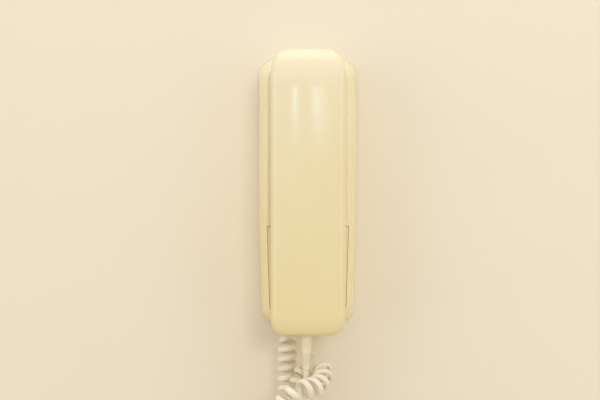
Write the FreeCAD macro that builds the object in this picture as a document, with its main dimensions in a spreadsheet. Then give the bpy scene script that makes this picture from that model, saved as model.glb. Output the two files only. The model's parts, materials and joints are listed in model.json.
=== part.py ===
import FreeCAD, Part
import itertools
import math
import os
import Sketcher
from FreeCAD import Vector

# A slim telephone that hangs on a wall: a long handset over a slightly wider base.
# +X is to the right, +Z is up, and -Y points out of the wall into the room.
# The origin is midway between the two wall screws, on the wall's surface.
# A depth is a distance out from the wall, so it is -Y. A level is a height, so it is Z.

SIZES = {
    # base
    "base_width": 68.4,  # across the back, at the wall
    "base_top": 91.8,  # above the origin
    "base_foot": 93.3,  # below the origin
    "base_depth": 26.0,
    "base_draft": 6.4,  # how far the flanks lean in over the depth
    "base_wall": 2.2,
    "base_shoulder": 13.7,  # radius of the two upper corners
    "base_heel": 10.0,  # radius of the two lower corners
    "base_rim": 1.2,  # rounding of the front edge
    "waist": 25.0,  # below the origin, where the sides start to narrow
    "narrowing": 0.032,  # of each side, for each millimetre below the waist
    "plate_thickness": 3.0,
    "plate_clearance": 0.3,
    # wall bracket
    "bracket_width": 34.0,
    "bracket_height": 104.0,
    "bracket_thickness": 1.2,
    "bracket_corner": 3.0,
    "bracket_clearance": 0.3,
    "wall_screw_pitch": 83.5,
    "wall_screw_hole": 2.25,  # radius
    "wall_screw_room": 5.0,  # radius of the hole in the back plate round each wall screw's head
    "tongue_height": 8.0,
    "tongue_reach": 3.0,  # of the bent tongues, out from the bracket's face
    "tongue_level": 14.0,
    "tongue_clearance": 0.3,
    "entry_width": 20.0,  # window for the wires that come out of the wall
    "entry_height": 12.0,
    "entry_level": 28.0,  # below the origin
    # lower cover
    "cover_top": 25.2,  # below the origin
    "cover_margin": 0.5,  # in from the edge of the front face
    "cover_thickness": 1.8,
    "cover_gap": 0.35,
    "cover_heel": 9.0,
    "ledge_width": 2.5,
    "ledge_thickness": 1.2,
    # handset
    "handset_width": 48.5,
    "handset_top": 91.7,
    "handset_foot": 95.0,
    "handset_gap": 3.0,  # between the base's front and the handset
    "handset_thickness": 26.0,
    "handset_wall": 2.2,
    "handset_shoulder": 13.0,
    "handset_heel": 9.5,
    "handset_edge": 5.0,
    "crown": 3.6,  # how far the middle of the front stands out past its sides
    "crown_margin": 2.2,  # past the handset's sides, where its front is cut to them
    "brow_rise": 24.6,  # height over which the top curves back
    "brow_drop": 8.5,  # how far back it curves
    "chin_rise": 10.6,
    "chin_drop": 2.3,
    "inner_depth": 5.0,  # of the inner shell's sides
    "inner_floor": 2.0,
    "inner_edge": 2.0,
    "lip_gap": 0.2,
    "lip_thickness": 1.0,
    "lip_height": 1.4,
    # cups of the handset and the wells that hold them
    "ear_level": 60.0,
    "ear_radius": 17.5,
    "ear_depth": 8.0,
    "mouth_level": 68.0,  # below the origin
    "mouth_radius": 11.0,
    "mouth_depth": 4.5,
    "cup_wall": 2.0,
    "cup_edge": 1.5,
    "seat_gap": 0.3,
    "ear_floor_gap": 1.0,
    "mouth_floor_gap": 0.5,
    "ear_lift_room": 4.2,  # how far the ear well runs up past the cup
    "mouth_lift_room": 1.8,
    "well_wall": 2.0,
    "mouth_well_wall": 2.6,
    "cover_screw_floor": 0.8,
    "bumper_radius": 2.0,
    "bumper_ring": 12.5,
    "bumper_height": 0.7,
    # keypad
    "key_width": 9.5,
    "key_height": 7.0,
    "key_corner": 1.2,
    "key_edge": 0.5,
    "key_seat": 0.05,
    "key_rise": 1.5,  # above the inner shell
    "key_travel": 1.2,
    "key_clearance": 0.3,
    "key_flange": 0.75,  # how far the flange stands out past the cap
    "key_flange_thickness": 0.95,
    "column_pitch": 13.0,
    "row_pitch": 11.5,
    "keypad_level": 4.0,  # below the origin
    "mat_thickness": 1.0,
    "dome_height": 0.4,
    "dome_radius": 2.5,
    "dome_gap": 0.1,
    "keypad_board_width": 39.0,
    "board_thickness": 1.6,
    "keypad_screw_margin": 3.0,  # from the edges of the keypad's board to its screws
    "keypad_post": 2.6,
    "keypad_post_room": 0.9,  # from the flanges of the top and bottom keys to the posts of the keypad's screws
    "keypad_screw_length": 4.0,
    # receiver and microphone
    "receiver_fit": 0.3,
    "receiver_height": 8.0,
    "receiver_magnet": 11.0,
    "receiver_magnet_height": 3.0,
    "gasket_thickness": 1.0,
    "gasket_hole": 11.0,
    "sound_ring": 4.0,
    "sound_hole": 0.8,
    "microphone_radius": 4.85,
    "microphone_height": 6.7,
    "boot_fit": 0.2,
    "boot_height": 7.0,
    "boot_floor": 2.0,
    "boot_hole": 1.5,
    # screws
    "screw_radius": 1.4,
    "screw_clearance": 0.05,
    "screw_head": 2.8,
    "screw_head_height": 1.5,
    "screw_recess": 0.4,
    "screw_through": 1.7,  # radius of a hole that a screw passes through
    "slot_width": 0.7,
    "slot_depth": 0.7,
    "slot_over": 0.6,  # how far a slot's cut runs past its head on the two sides together
    "boss": 3.2,
    "housing_screw_x": 23.0,
    "housing_screw_high": 74.0,
    "housing_screw_low": 14.0,  # below the origin
    "housing_screw_length": 13.0,
    "handset_screw_high": 33.0,
    "handset_screw_low": 42.0,  # below the origin
    "handset_screw_length": 13.0,
    "handset_post": 3.5,
    "cover_screw_length": 10.0,
    # circuit board in the base
    "circuit_width": 38.0,
    "circuit_low": 19.0,  # below the origin
    "circuit_high": 73.0,
    "standoff_height": 4.0,
    "standoff": 2.6,
    "circuit_screw_x": 15.5,
    "circuit_screw_high": 69.0,
    "circuit_screw_low": 15.0,  # below the origin
    "circuit_screw_length": 4.5,
    "transformer_width": 15.0,
    "transformer_height": 12.0,
    "transformer_depth": 9.0,
    "transformer_x": 9.5,
    "transformer_level": 31.0,
    "winding_width": 9.0,
    "winding_height": 15.0,
    "winding_depth": 4.5,
    "capacitor_radius": 3.6,
    "capacitor_height": 9.0,
    "capacitor_x": 6.5,
    "capacitor_pitch": 8.5,
    "capacitor_level": 31.0,
    "chip_width": 20.0,
    "chip_height": 7.0,
    "chip_depth": 3.2,
    "chip_level": 8.0,
    # terminals
    "terminal_width": 28.0,
    "terminal_height": 10.0,
    "terminal_depth": 9.0,
    "terminal_level": 57.0,  # below the origin
    "terminal_pitch": 8.0,
    "terminal_screw_head": 2.2,
    "terminal_ridge": 1.2,
    "terminal_ridge_height": 3.0,
    "terminal_screw_length": 5.5,
    # ringer
    "ringer_radius": 13.0,
    "ringer_height": 6.0,
    "ringer_level": 8.0,
    "ringer_fit": 0.2,
    "ringer_collar": 1.5,
    "ringer_collar_height": 3.6,
    "grille_width": 15.0,
    "grille_slot": 1.6,
    "grille_pitch": 3.4,
    # hook
    "plunger_radius": 3.0,
    "plunger_clearance": 0.3,
    "plunger_flange": 4.2,
    "plunger_flange_thickness": 1.0,
    "plunger_travel": 4.0,
    "plunger_bore": 2.2,
    "plunger_cap": 2.4,
    "spring_radius": 1.6,  # of the coil's middle line
    "spring_wire": 0.5,
    "spring_pitch": 1.35,
    "hook_switch_x": 5.0,
    "hook_switch_width": 12.0,
    "hook_switch_height": 10.0,
    "hook_lever": 0.5,
    "hook_lever_height": 4.0,
    # cord jack and plug
    "jack_x": 14.0,  # left of the middle
    "jack_depth": 14.0,  # from the wall to the plug's middle
    "jack_width": 12.0,
    "jack_thickness": 11.0,
    "jack_low": 85.8,  # below the origin
    "jack_height": 10.8,
    "jack_mouth_height": 6.3,
    "rest_margin": 1.0,  # how far the back plate's rests for the jack and the switch stand in
    "plug_width": 7.8,
    "plug_thickness": 6.6,
    "plug_length": 11.7,
    "plug_clearance": 0.3,
    "plug_corner": 0.6,
    "mouth_margin": 0.6,  # between the plug and the hole in the housing
    # ringer switch
    "switch_x": 13.5,
    "switch_depth": 14.0,
    "switch_width": 14.0,
    "switch_thickness": 7.0,
    "switch_height": 6.8,
    "knob_width": 4.0,
    "knob_thickness": 3.0,
    "knob_travel": 5.0,
    "knob_clearance": 0.1,
    "knob_inset": 1.5,  # above the base's lowest edge
    "knob_root": 3.8,  # how far the knob runs up into its switch
    # ballast
    "ballast_width": 30.0,
    "ballast_height": 50.0,
    "ballast_thickness": 4.0,
    "ballast_depth": 43.0,  # of its face towards the wall
    "ballast_level": 4.0,  # below the origin
    "ballast_screw_pitch": 32.0,
    "ballast_screw_length": 7.5,
    "ballast_corner": 2.0,
    # cord
    "cord_radius": 1.8,
    "relief_x": -1.0,
    "relief_depth": 41.0,
    "relief_flange": 5.0,
    "relief_flange_thickness": 1.8,
    "relief_neck": 3.3,
    "relief_clearance": 0.1,
    "relief_root": 3.7,
    "relief_shoulder": 3.1,
    "relief_step": 2.6,
    "relief_tip": 2.1,
    "relief_stem": 16.5,
    "relief_length": 24.0,
    "coil_radius": 5.1,  # of the turns' middle line
    "coil_pitch": 6.6,
    "coil_inside": 4.6,  # least pitch on the inside of a bend
    "coil_drop": 16.0,  # length that hangs straight from the handset before the first turn
    "coil_ramp": 12.0,  # length over which the cord swells from straight into full turns
    "lead_radius": 0.7,
}

# The middle of the curly cord, from the strain relief to the plug, in X, depth and level.
CORD_ROUTE = [
    (-1, 41, -119), (-1, 41, -127), (-1, 41, -137), (-1, 41, -147), (1.5, 42.5, -155.5), (0.8, 40.8, -164.5),
    (-4, 35.5, -168.8), (-9.5, 30.5, -165.5), (-11, 28.5, -154.5), (-9.3, 28.5, -140), (-5.5, 28, -127.5),
    (-1, 27.5, -120), (5, 28.7, -117.4), (9.8, 34.5, -119), (10.2, 43, -123.5), (5, 51.5, -127.5),
    (-2, 57, -127.8), (-9, 58.5, -129), (-15.5, 57.3, -136), (-19, 53.5, -147.5), (-18.5, 50, -162),
    (-17, 45, -185), (-16, 41, -208), (-16, 41, -226), (-16, 40, -240), (-15.5, 28, -248), (-14.5, 15, -240),
    (-14, 14, -225), (-14, 14, -200), (-14, 14, -150), (-14, 14, -122), (-14, 14, -104), (-14, 14, -91.5),
]

# Leads inside the handset and the base, as X, depth and level of each corner.
RECEIVER_LEADS = [(8, 35, 60), (8, 40, 60), (8, 41.5, 48), (8, 41.5, 36), (8, 41, 20), (8, 36.3, 20)]
CORD_LEADS = [(-1, 41, -91), (-1, 41, -82), (5, 41.5, -68), (7, 41, -54), (7, 41, -29), (7, 36.3, -29)]
JACK_LEADS = [(-12, 14, -75), (-12, 14, -70), (-8, 7, -67), (-8, 7, -62)]
LINE_LEADS = [(-4, 7, -52), (-4, 7, -46), (-4, 13, -34), (-4, 13, -15), (-4, 8.6, -15)]
RINGER_LEADS = [(6, 17.8, 14), (6, 14.5, 14), (6, 12.5, 19), (6, 8.6, 19)]


class Size:
    """A number with the formula by which the spreadsheet works it out."""

    def __init__(self, value, formula):
        self.value = value
        self.formula = formula

    def __add__(self, other):
        return joined(self, "+", other, self.value + value_of(other))

    def __radd__(self, other):
        return joined(other, "+", self, value_of(other) + self.value)

    def __sub__(self, other):
        return joined(self, "-", other, self.value - value_of(other))

    def __rsub__(self, other):
        return joined(other, "-", self, value_of(other) - self.value)

    def __mul__(self, other):
        return joined(self, "*", other, self.value * value_of(other))

    def __rmul__(self, other):
        return joined(other, "*", self, value_of(other) * self.value)

    def __truediv__(self, other):
        return joined(self, "/", other, self.value / value_of(other))

    def __neg__(self):
        return Size(-self.value, f"(0 - {self.formula})")


def value_of(amount):
    return amount.value if isinstance(amount, Size) else amount


def formula_of(amount):
    return amount.formula if isinstance(amount, Size) else f"({amount})"


def joined(left, sign, right, value):
    return Size(value, f"({formula_of(left)} {sign} {formula_of(right)})")


class Sheet:
    """The spreadsheet of driving sizes, each read as an attribute."""

    def __init__(self, doc):
        sheet = doc.addObject("Spreadsheet::Sheet", "Sizes")
        for row, (name, value) in enumerate(SIZES.items(), 1):
            sheet.set(f"A{row}", name)
            sheet.set(f"B{row}", str(value))
            sheet.setAlias(f"B{row}", name)
            setattr(self, name, Size(value, f"Sizes.{name}"))
        doc.recompute()


def bind(thing, path, amount):
    if isinstance(amount, Size):
        thing.setExpression(path, amount.formula)


# Bodies, sketches and features


def new_body(label):
    body = doc.addObject("PartDesign::Body", label)
    body.Label = label
    body.AllowCompound = True
    return body


def place(thing, x, depth, level):
    """Puts a thing's own origin at a place in the telephone."""
    thing.Placement.Base = Vector(value_of(x), -value_of(depth), value_of(level))
    bind(thing, "Placement.Base.x", x)
    bind(thing, "Placement.Base.y", -depth)
    bind(thing, "Placement.Base.z", level)
    return thing


def sketch_on(body, role, offset):
    plane = next(f for f in body.Origin.OriginFeatures if f.Role == role)
    sketch = body.newObject("Sketcher::SketchObject", f"{body.Name}_sketch")
    sketch.AttachmentSupport = (plane, [""])
    sketch.MapMode = "FlatFace"
    sketch.AttachmentOffset = FreeCAD.Placement(Vector(0, 0, value_of(offset)), FreeCAD.Rotation())
    bind(sketch, "AttachmentOffset.Base.z", offset)
    return sketch


def wall_sketch(body, depth=0):
    """A sketch in X and Z, facing out of the wall."""
    return sketch_on(body, "XZ_Plane", depth)


def floor_sketch(body, level=0):
    """A sketch in X and Y, facing up."""
    return sketch_on(body, "XY_Plane", level)


def side_sketch(body):
    """A sketch in Y and Z, facing right."""
    return sketch_on(body, "YZ_Plane", 0)


def limit(sketch, kind, amount, *where):
    index = sketch.addConstraint(Sketcher.Constraint(kind, *where, value_of(amount)))
    bind(sketch, f"Constraints[{index}]", amount)


def pin(sketch, line, end, x, y):
    limit(sketch, "DistanceX", x, line, end)
    limit(sketch, "DistanceY", y, line, end)


def weld(sketch, line, end, other, other_end):
    sketch.addConstraint(Sketcher.Constraint("Coincident", line, end, other, other_end))


def point(x, y):
    return Vector(value_of(x), value_of(y), 0)


def polygon(sketch, corners):
    first = sketch.GeometryCount
    count = len(corners)
    for i in range(count):
        start, end = corners[i], corners[(i + 1) % count]
        sketch.addGeometry(Part.LineSegment(point(*start), point(*end)), False)
    for i, corner in enumerate(corners):
        weld(sketch, first + i, 2, first + (i + 1) % count, 1)
        pin(sketch, first + i, 1, *corner)


def rectangle(sketch, x, y, width, height):
    """A rectangle about its middle."""
    left, right = x - width / 2, x + width / 2
    low, high = y - height / 2, y + height / 2
    polygon(sketch, [(left, low), (right, low), (right, high), (left, high)])


def circle(sketch, x, y, radius):
    index = sketch.addGeometry(Part.Circle(point(x, y), Vector(0, 0, 1), value_of(radius)), False)
    pin(sketch, index, 3, x, y)
    limit(sketch, "Radius", radius, index)


def arc(sketch, x, y, radius, start, sweep):
    """An arc about (x, y) whose ends lie straight across from its middle or straight above or below it."""
    first, last = math.radians(start), math.radians(start + sweep)
    whole = Part.Circle(point(x, y), Vector(0, 0, 1), value_of(radius))
    index = sketch.addGeometry(Part.ArcOfCircle(whole, first, last), False)
    pin(sketch, index, 3, x, y)
    limit(sketch, "Radius", radius, index)
    for end, angle in ((1, start), (2, start + sweep)):
        kind, middle = ("DistanceY", y) if angle % 180 == 0 else ("DistanceX", x)
        limit(sketch, kind, middle, index, end)
    return index


def join_arcs(sketch, arcs):
    """Draws the straight lines from each arc's end to the next arc's start."""
    for one, following in zip(arcs, arcs[1:] + arcs[:1]):
        ends = sketch.Geometry[one].EndPoint, sketch.Geometry[following].StartPoint
        line = sketch.addGeometry(Part.LineSegment(*ends), False)
        weld(sketch, line, 1, one, 2)
        weld(sketch, line, 2, following, 1)


def rounded(sketch, left, low, right, high, low_radius, high_radius):
    """A rectangle with rounded corners."""
    corners = [
        (right - high_radius, high - high_radius, high_radius, 0),
        (left + high_radius, high - high_radius, high_radius, 90),
        (left + low_radius, low + low_radius, low_radius, 180),
        (right - low_radius, low + low_radius, low_radius, 270),
    ]
    join_arcs(sketch, [arc(sketch, *corner, 90) for corner in corners])


def rounded_about(sketch, x, y, width, height, radius):
    """A rounded rectangle about its middle."""
    rounded(sketch, x - width / 2, y - height / 2, x + width / 2, y + height / 2, radius, radius)


def stadium(sketch, x, low, high, radius):
    """A circle swept up from one level to another."""
    join_arcs(sketch, [arc(sketch, x, low, radius, 180, 180), arc(sketch, x, high, radius, 0, 180)])


def feature(kind, sketch, length):
    body = sketch.getParentGeoFeatureGroup()
    made = body.newObject(f"PartDesign::{kind}", f"{body.Name}_{kind}")
    made.Profile = sketch
    made.Length = value_of(length)
    bind(made, "Length", length)
    return made


def pad(sketch, length):
    """Adds material from the sketch's plane, the way that it faces."""
    made = feature("Pad", sketch, length)
    doc.recompute()
    return made


def cut(sketch, length):
    """Takes material away from the sketch's plane, the way that it faces."""
    body = sketch.getParentGeoFeatureGroup()
    before = body.Shape.Volume
    made = feature("Pocket", sketch, length)
    made.Reversed = True
    doc.recompute()
    if made.Shape.Volume > before - 0.01:
        raise RuntimeError(f"{made.Name} cuts nothing")
    return made


def disc(body, x, level, radius, depth, length, make=pad):
    """A disc that faces out of the wall, or with make=cut a hole."""
    discs(body, [(x, level)], radius, depth, length, make)


def discs(body, places, radius, depth, length, make=pad):
    sketch = wall_sketch(body, depth)
    for x, level in places:
        circle(sketch, x, level, radius)
    make(sketch, length)


def slab(body, x, level, width, height, depth, length, make=pad):
    """A block that faces out of the wall, or with make=cut a square hole."""
    slabs(body, [(x, level)], width, height, depth, length, make)


def slabs(body, places, width, height, depth, length, make=pad):
    sketch = wall_sketch(body, depth)
    for x, level in places:
        rectangle(sketch, x, level, width, height)
    make(sketch, length)


def edges_where(shape, test):
    """The names of a shape's edges that pass a test."""
    return [f"Edge{i}" for i, edge in enumerate(shape.Edges, 1) if test(edge)]


def soften(body, radius, test):
    """Rounds the edges of a body that pass a test."""
    tip = body.Tip
    names = edges_where(tip.Shape, test)
    made = body.newObject("PartDesign::Fillet", f"{body.Name}_Fillet")
    made.Base = (tip, names)
    made.Radius = value_of(radius)
    bind(made, "Radius", radius)
    doc.recompute()


def flat_at(depth):
    """Passes the edges that lie at one depth."""
    y = -value_of(depth)

    def test(edge):
        places = [v.Point for v in edge.Vertexes] + [edge.CenterOfGravity]
        return all(abs(p.y - y) < 1e-4 for p in places)

    return test


def runs_out_from(corners):
    """Passes the edges that run out from the wall and start at one of some corners."""
    starts = [(value_of(x), value_of(z)) for x, z in corners]

    def test(edge):
        first, last = edge.Vertexes[0].Point, edge.Vertexes[-1].Point
        back = max(first, last, key=lambda p: p.y)
        near = any(math.hypot(back.x - x, back.z - z) < 0.01 for x, z in starts)
        return near and abs(first.y - last.y) > 0.5 * edge.Length

    return test


def combine(body, kind, tool):
    """Cuts a body with another, or joins the other to it."""
    made = body.newObject("PartDesign::Boolean", f"{body.Name}_{kind}")
    made.setObjects([tool])
    made.Type = kind
    doc.recompute()


# Outlines that several pieces share


def base_outline(inset):
    half = size.base_width / 2 - inset
    top = size.base_top - inset
    foot = size.base_foot - inset
    foot_half = half - size.narrowing * (foot - size.waist)
    right = [(foot_half, -foot), (half, -size.waist), (half, top)]
    return right + [(-x, z) for x, z in reversed(right)]


def leaning(inset, depth):
    """How far in the base's outline is at a depth, for a piece that keeps an inset from its flanks."""
    return inset + size.base_draft * depth / size.base_depth


def drafted_block(label, inset, start, length):
    """A block whose flanks lean in as the base's do."""
    body = new_body(label)
    ends = [start, start + length]
    sketches = []
    for depth in ends:
        sketches.append(wall_sketch(body, depth))
        polygon(sketches[-1], base_outline(leaning(inset, depth)))
    doc.recompute()
    loft = body.newObject("PartDesign::AdditiveLoft", f"{label}_Loft")
    loft.Profile = sketches[0]
    loft.Sections = [sketches[1]]
    loft.Ruled = True
    doc.recompute()
    corners = base_outline(leaning(inset, start))
    soften(body, size.base_shoulder - inset, runs_out_from([corners[2], corners[3]]))
    soften(body, size.base_heel - inset, runs_out_from([corners[0], corners[5]]))
    return body


def cover_block(label, grow, start, length):
    """A block with the lower cover's outline, which is the base's front face below the waist."""
    body = new_body(label)
    inset = size.base_draft + size.cover_margin - grow
    half = size.base_width / 2 - inset
    top = size.cover_top - grow
    foot = size.base_foot - inset
    top_half = half - size.narrowing * (top - size.waist)
    foot_half = half - size.narrowing * (foot - size.waist)
    lower = [(-foot_half, -foot), (foot_half, -foot)]
    sketch = wall_sketch(body, start)
    polygon(sketch, lower + [(top_half, -top), (-top_half, -top)])
    pad(sketch, length)
    soften(body, size.cover_heel + grow, runs_out_from(lower))
    return body


def handset_outline(sketch, inset):
    half = size.handset_width / 2 - inset
    radii = size.handset_heel - inset, size.handset_shoulder - inset
    rounded(sketch, -half, inset - size.handset_foot, half, size.handset_top - inset, *radii)


def handset_form(label, inset):
    """The crowned form of the handset's outer shell, or with an inset the hollow in it."""
    body = new_body(label)
    front = handset_front - inset
    back = handset_parting - size.inner_depth
    half = size.handset_width / 2 + size.crown_margin
    section = floor_sketch(body, -size.handset_foot)
    side = front - size.chin_drop - size.crown
    crowned_section(section, half, back, side, size.crown)
    spine = side_sketch(body)
    crown_line(spine, front)
    doc.recompute()
    bar = body.newObject("PartDesign::AdditivePipe", f"{label}_Pipe")
    bar.Profile = section
    bar.Spine = (spine, [])
    bar.Mode = "Fixed"
    doc.recompute()
    trim = wall_sketch(body)
    reach = size.handset_top + size.handset_foot
    rectangle(trim, 0, 0, reach * 2, reach * 2)
    handset_outline(trim, inset)
    cut(trim, size.handset_thickness * 3)
    flat = wall_sketch(body)
    rectangle(flat, 0, 0, reach * 2, reach * 2)
    cut(flat, handset_parting)
    soften(body, size.handset_edge - inset, on_front_edge(inset))
    return body


def crowned_section(sketch, half, back, side, crown):
    """A bar's section in X and Y: straight back and sides, and an arc in front."""
    corners = [(half, -side), (half, -back), (-half, -back), (-half, -side)]
    for start, end in zip(corners, corners[1:]):
        sketch.addGeometry(Part.LineSegment(point(*start), point(*end)), False)
    top = point(0, -(side + crown))
    sketch.addGeometry(Part.Arc(point(*corners[3]), top, point(*corners[0])), False)
    weld(sketch, 0, 2, 1, 1)
    weld(sketch, 1, 2, 2, 1)
    pin(sketch, 0, 1, *corners[0])
    pin(sketch, 0, 2, *corners[1])
    pin(sketch, 2, 1, *corners[2])
    pin(sketch, 2, 2, *corners[3])
    ends = (1, 2) if sketch.Geometry[3].StartPoint.x < 0 else (2, 1)
    weld(sketch, 3, ends[0], 2, 2)
    weld(sketch, 3, ends[1], 0, 1)
    limit(sketch, "Radius", (half * half + crown * crown) / (crown * 2), 3)


def crown_line(sketch, front):
    """The middle line of the handset's front in Y and Z: a chin's arc, a straight run and a brow's arc."""
    low, high = -size.handset_foot, size.handset_top
    line_ends = [(-front, low + size.chin_rise), (-front, high - size.brow_rise)]
    sketch.addGeometry(Part.LineSegment(point(*line_ends[0]), point(*line_ends[1])), False)
    pin(sketch, 0, 1, *line_ends[0])
    pin(sketch, 0, 2, *line_ends[1])
    chin = size.chin_rise, size.chin_drop, (size.chin_drop - front, low), line_ends[0], 1
    brow = size.brow_rise, size.brow_drop, (size.brow_drop - front, high), line_ends[1], 2
    for index, (rise, drop, tip, joint, line_end) in enumerate((chin, brow), 1):
        radius = (rise * rise + drop * drop) / (drop * 2)
        middle = point(radius - front, joint[1])
        turn = math.asin(rise.value / radius.value)
        angles = (math.pi, math.pi + turn) if index == 1 else (math.pi - turn, math.pi)
        whole = Part.Circle(middle, Vector(0, 0, 1), radius.value)
        sketch.addGeometry(Part.ArcOfCircle(whole, *angles), False)
        at_joint, at_tip = (1, 2) if index == 1 else (2, 1)
        weld(sketch, index, at_joint, 0, line_end)
        pin(sketch, index, at_tip, *tip)
        limit(sketch, "Radius", radius, index)


def on_front_edge(inset):
    """Passes the edges round the front of the handset's form, where its face meets its sides."""
    half = value_of(size.handset_width / 2 - inset)
    low = value_of(inset - size.handset_foot)
    high = value_of(size.handset_top - inset)
    parting = value_of(handset_parting)
    low_radius = value_of(size.handset_heel - inset)
    high_radius = value_of(size.handset_shoulder - inset)

    def outside(p):
        """How far a point is from the outline, which is rounded at its corners."""
        radius = high_radius if p.z > 0 else low_radius
        x = abs(p.x) - (half - radius)
        z = p.z - (high - radius) if p.z > 0 else (low + radius) - p.z
        if x > 0 and z > 0:
            return math.hypot(x, z) - radius
        return max(x, z) - radius

    def test(edge):
        points = edge.discretize(5)
        spread = math.hypot(points[0].x - points[-1].x, points[0].z - points[-1].z)
        on_outline = all(abs(outside(p)) < 0.01 for p in points)
        in_front = all(p.y < -parting - 1 for p in points)
        return on_outline and in_front and spread > 0.1

    return test


# Pieces of the base


def wall_bracket():
    body = new_body("wall_bracket")
    plate = wall_sketch(body)
    corner = size.bracket_corner
    rounded_about(plate, 0, 0, size.bracket_width, size.bracket_height, corner)
    pad(plate, size.bracket_thickness)
    tongue_x = (size.bracket_width - size.bracket_thickness) / 2
    tongues = [(-tongue_x, size.tongue_level), (tongue_x, size.tongue_level)]
    reach = size.bracket_thickness + size.tongue_reach
    slabs(body, tongues, size.bracket_thickness, size.tongue_height, 0, reach)
    discs(body, wall_screws, size.wall_screw_hole, 0, size.bracket_thickness, cut)
    entry = 0, -size.entry_level, size.entry_width, size.entry_height
    slab(body, *entry, 0, size.bracket_thickness, cut)
    return body


def back_plate():
    body = new_body("back_plate")
    inset = leaning(size.base_wall + size.plate_clearance, size.plate_thickness)
    outline = wall_sketch(body)
    corners = base_outline(inset)
    polygon(outline, corners)
    pad(outline, size.plate_thickness)
    soften(body, size.base_shoulder - inset, runs_out_from([corners[2], corners[3]]))
    soften(body, size.base_heel - inset, runs_out_from([corners[0], corners[5]]))
    recess = wall_sketch(body)
    spare = size.bracket_clearance * 2
    corner = size.bracket_corner + size.bracket_clearance
    rounded_about(recess, 0, 0, size.bracket_width + spare, size.bracket_height + spare, corner)
    cut(recess, size.bracket_thickness)
    discs(body, wall_screws, size.wall_screw_room, 0, size.plate_thickness, cut)
    entry = 0, -size.entry_level, size.entry_width, size.entry_height
    slab(body, *entry, 0, size.plate_thickness, cut)
    tongue_x = (size.bracket_width - size.bracket_thickness) / 2
    tongues = [(-tongue_x, size.tongue_level), (tongue_x, size.tongue_level)]
    width = size.bracket_thickness + size.tongue_clearance * 2
    height = size.tongue_height + size.tongue_clearance * 2
    slabs(body, tongues, width, height, 0, size.plate_thickness, cut)
    rest = size.plate_thickness
    discs(body, circuit_screws, size.standoff, rest, size.standoff_height)
    fit = size.screw_radius + size.screw_clearance
    pilot = circuit_front - size.circuit_screw_length - size.seat_gap
    discs(body, circuit_screws, fit, pilot, circuit_back - pilot, cut)
    post = 0, -size.mouth_level
    post_end = mouth_floor - size.mouth_well_wall
    disc(body, *post, size.boss, rest, post_end - rest)
    pilot = cover_screw_seat - size.cover_screw_length - size.seat_gap
    disc(body, *post, fit, pilot, post_end - pilot, cut)
    jack_rest = size.jack_depth - size.jack_thickness / 2
    jack_middle = -(size.jack_low - size.jack_height / 2)
    margin = size.rest_margin * 2
    shelf = size.jack_width - margin, size.jack_height - margin
    slab(body, -size.jack_x, jack_middle, *shelf, rest, jack_rest - rest)
    switch_rest = size.switch_depth - size.switch_thickness / 2
    switch_middle = -(size.jack_low - size.switch_height / 2)
    shelf = size.switch_width - margin, size.switch_height - margin
    slab(body, size.switch_x, switch_middle, *shelf, rest, switch_rest - rest)
    discs(body, housing_screws_at, size.screw_through, 0, size.plate_thickness, cut)
    recess_depth = size.screw_head_height + size.screw_recess
    discs(body, housing_screws_at, size.screw_head + size.seat_gap, 0, recess_depth, cut)
    return body


def base_housing():
    body = drafted_block("base_housing", 0, 0, size.base_depth)
    soften(body, size.base_rim, flat_at(size.base_depth))
    inside = size.base_depth - size.base_wall
    combine(body, "Cut", drafted_block("base_hollow", size.base_wall, 0, inside))
    ledge_start = inside - size.ledge_thickness
    seat = size.base_depth - size.cover_thickness
    combine(body, "Fuse", cover_block("ledge_block", size.cover_gap, ledge_start, size.ledge_thickness))
    combine(body, "Cut", cover_block("seat_block", size.cover_gap, seat, size.cover_thickness))
    window = size.base_depth - ledge_start
    combine(body, "Cut", cover_block("window_block", -size.ledge_width, ledge_start, window))
    add_ear_well(body)
    add_ringer_seat(body)
    boss_length = inside + size.base_wall / 2 - size.plate_thickness
    discs(body, housing_screws_at, size.boss, size.plate_thickness, boss_length)
    pilot = size.screw_radius + size.screw_clearance
    discs(body, housing_screws_at, pilot, size.plate_thickness, size.housing_screw_length, cut)
    add_foot_openings(body)
    return body


def add_ear_well(body):
    """The well that the ear cup hangs in, open in front, with room above the cup for it to lift out."""
    radius = size.ear_radius + size.seat_gap
    well_depth = size.ear_depth - size.handset_gap + size.ear_floor_gap
    well_floor = size.base_depth - well_depth
    top = size.ear_level + size.ear_lift_room
    tub = wall_sketch(body, well_floor - size.well_wall)
    stadium(tub, 0, size.ear_level, top, radius + size.well_wall)
    pad(tub, well_depth + size.well_wall - size.base_wall / 2)
    well = wall_sketch(body, well_floor)
    stadium(well, 0, size.ear_level, top, radius)
    cut(well, well_depth)
    hole = size.plunger_radius + size.plunger_clearance
    disc(body, 0, size.ear_level, hole, well_floor - size.well_wall, size.well_wall, cut)


def add_ringer_seat(body):
    """A collar for the ringer's speaker, and the grille in front of it."""
    inside = size.base_depth - size.base_wall
    bore = size.ringer_radius + size.ringer_fit
    collar = wall_sketch(body, inside - size.ringer_collar_height)
    circle(collar, 0, size.ringer_level, bore + size.ringer_collar)
    circle(collar, 0, size.ringer_level, bore)
    pad(collar, size.ringer_collar_height + size.base_wall / 2)
    places = [(0, size.ringer_level + size.grille_pitch * row) for row in (-2, -1, 0, 1, 2)]
    slabs(body, places, size.grille_width, size.grille_slot, inside, size.base_wall, cut)


def add_foot_openings(body):
    """The holes in the housing's foot for the cord's plug and for the ringer switch's knob."""
    reach = size.base_foot - size.jack_low
    spare = size.mouth_margin * 2
    plug = floor_sketch(body, -size.base_foot)
    plug_size = size.plug_width + spare, size.plug_thickness + spare
    rectangle(plug, -size.jack_x, -size.jack_depth, *plug_size)
    knob_width = size.knob_width + size.knob_travel + size.mouth_margin
    rectangle(plug, size.switch_x, -size.switch_depth, knob_width, size.knob_thickness + spare)
    cut(plug, reach)


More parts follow.
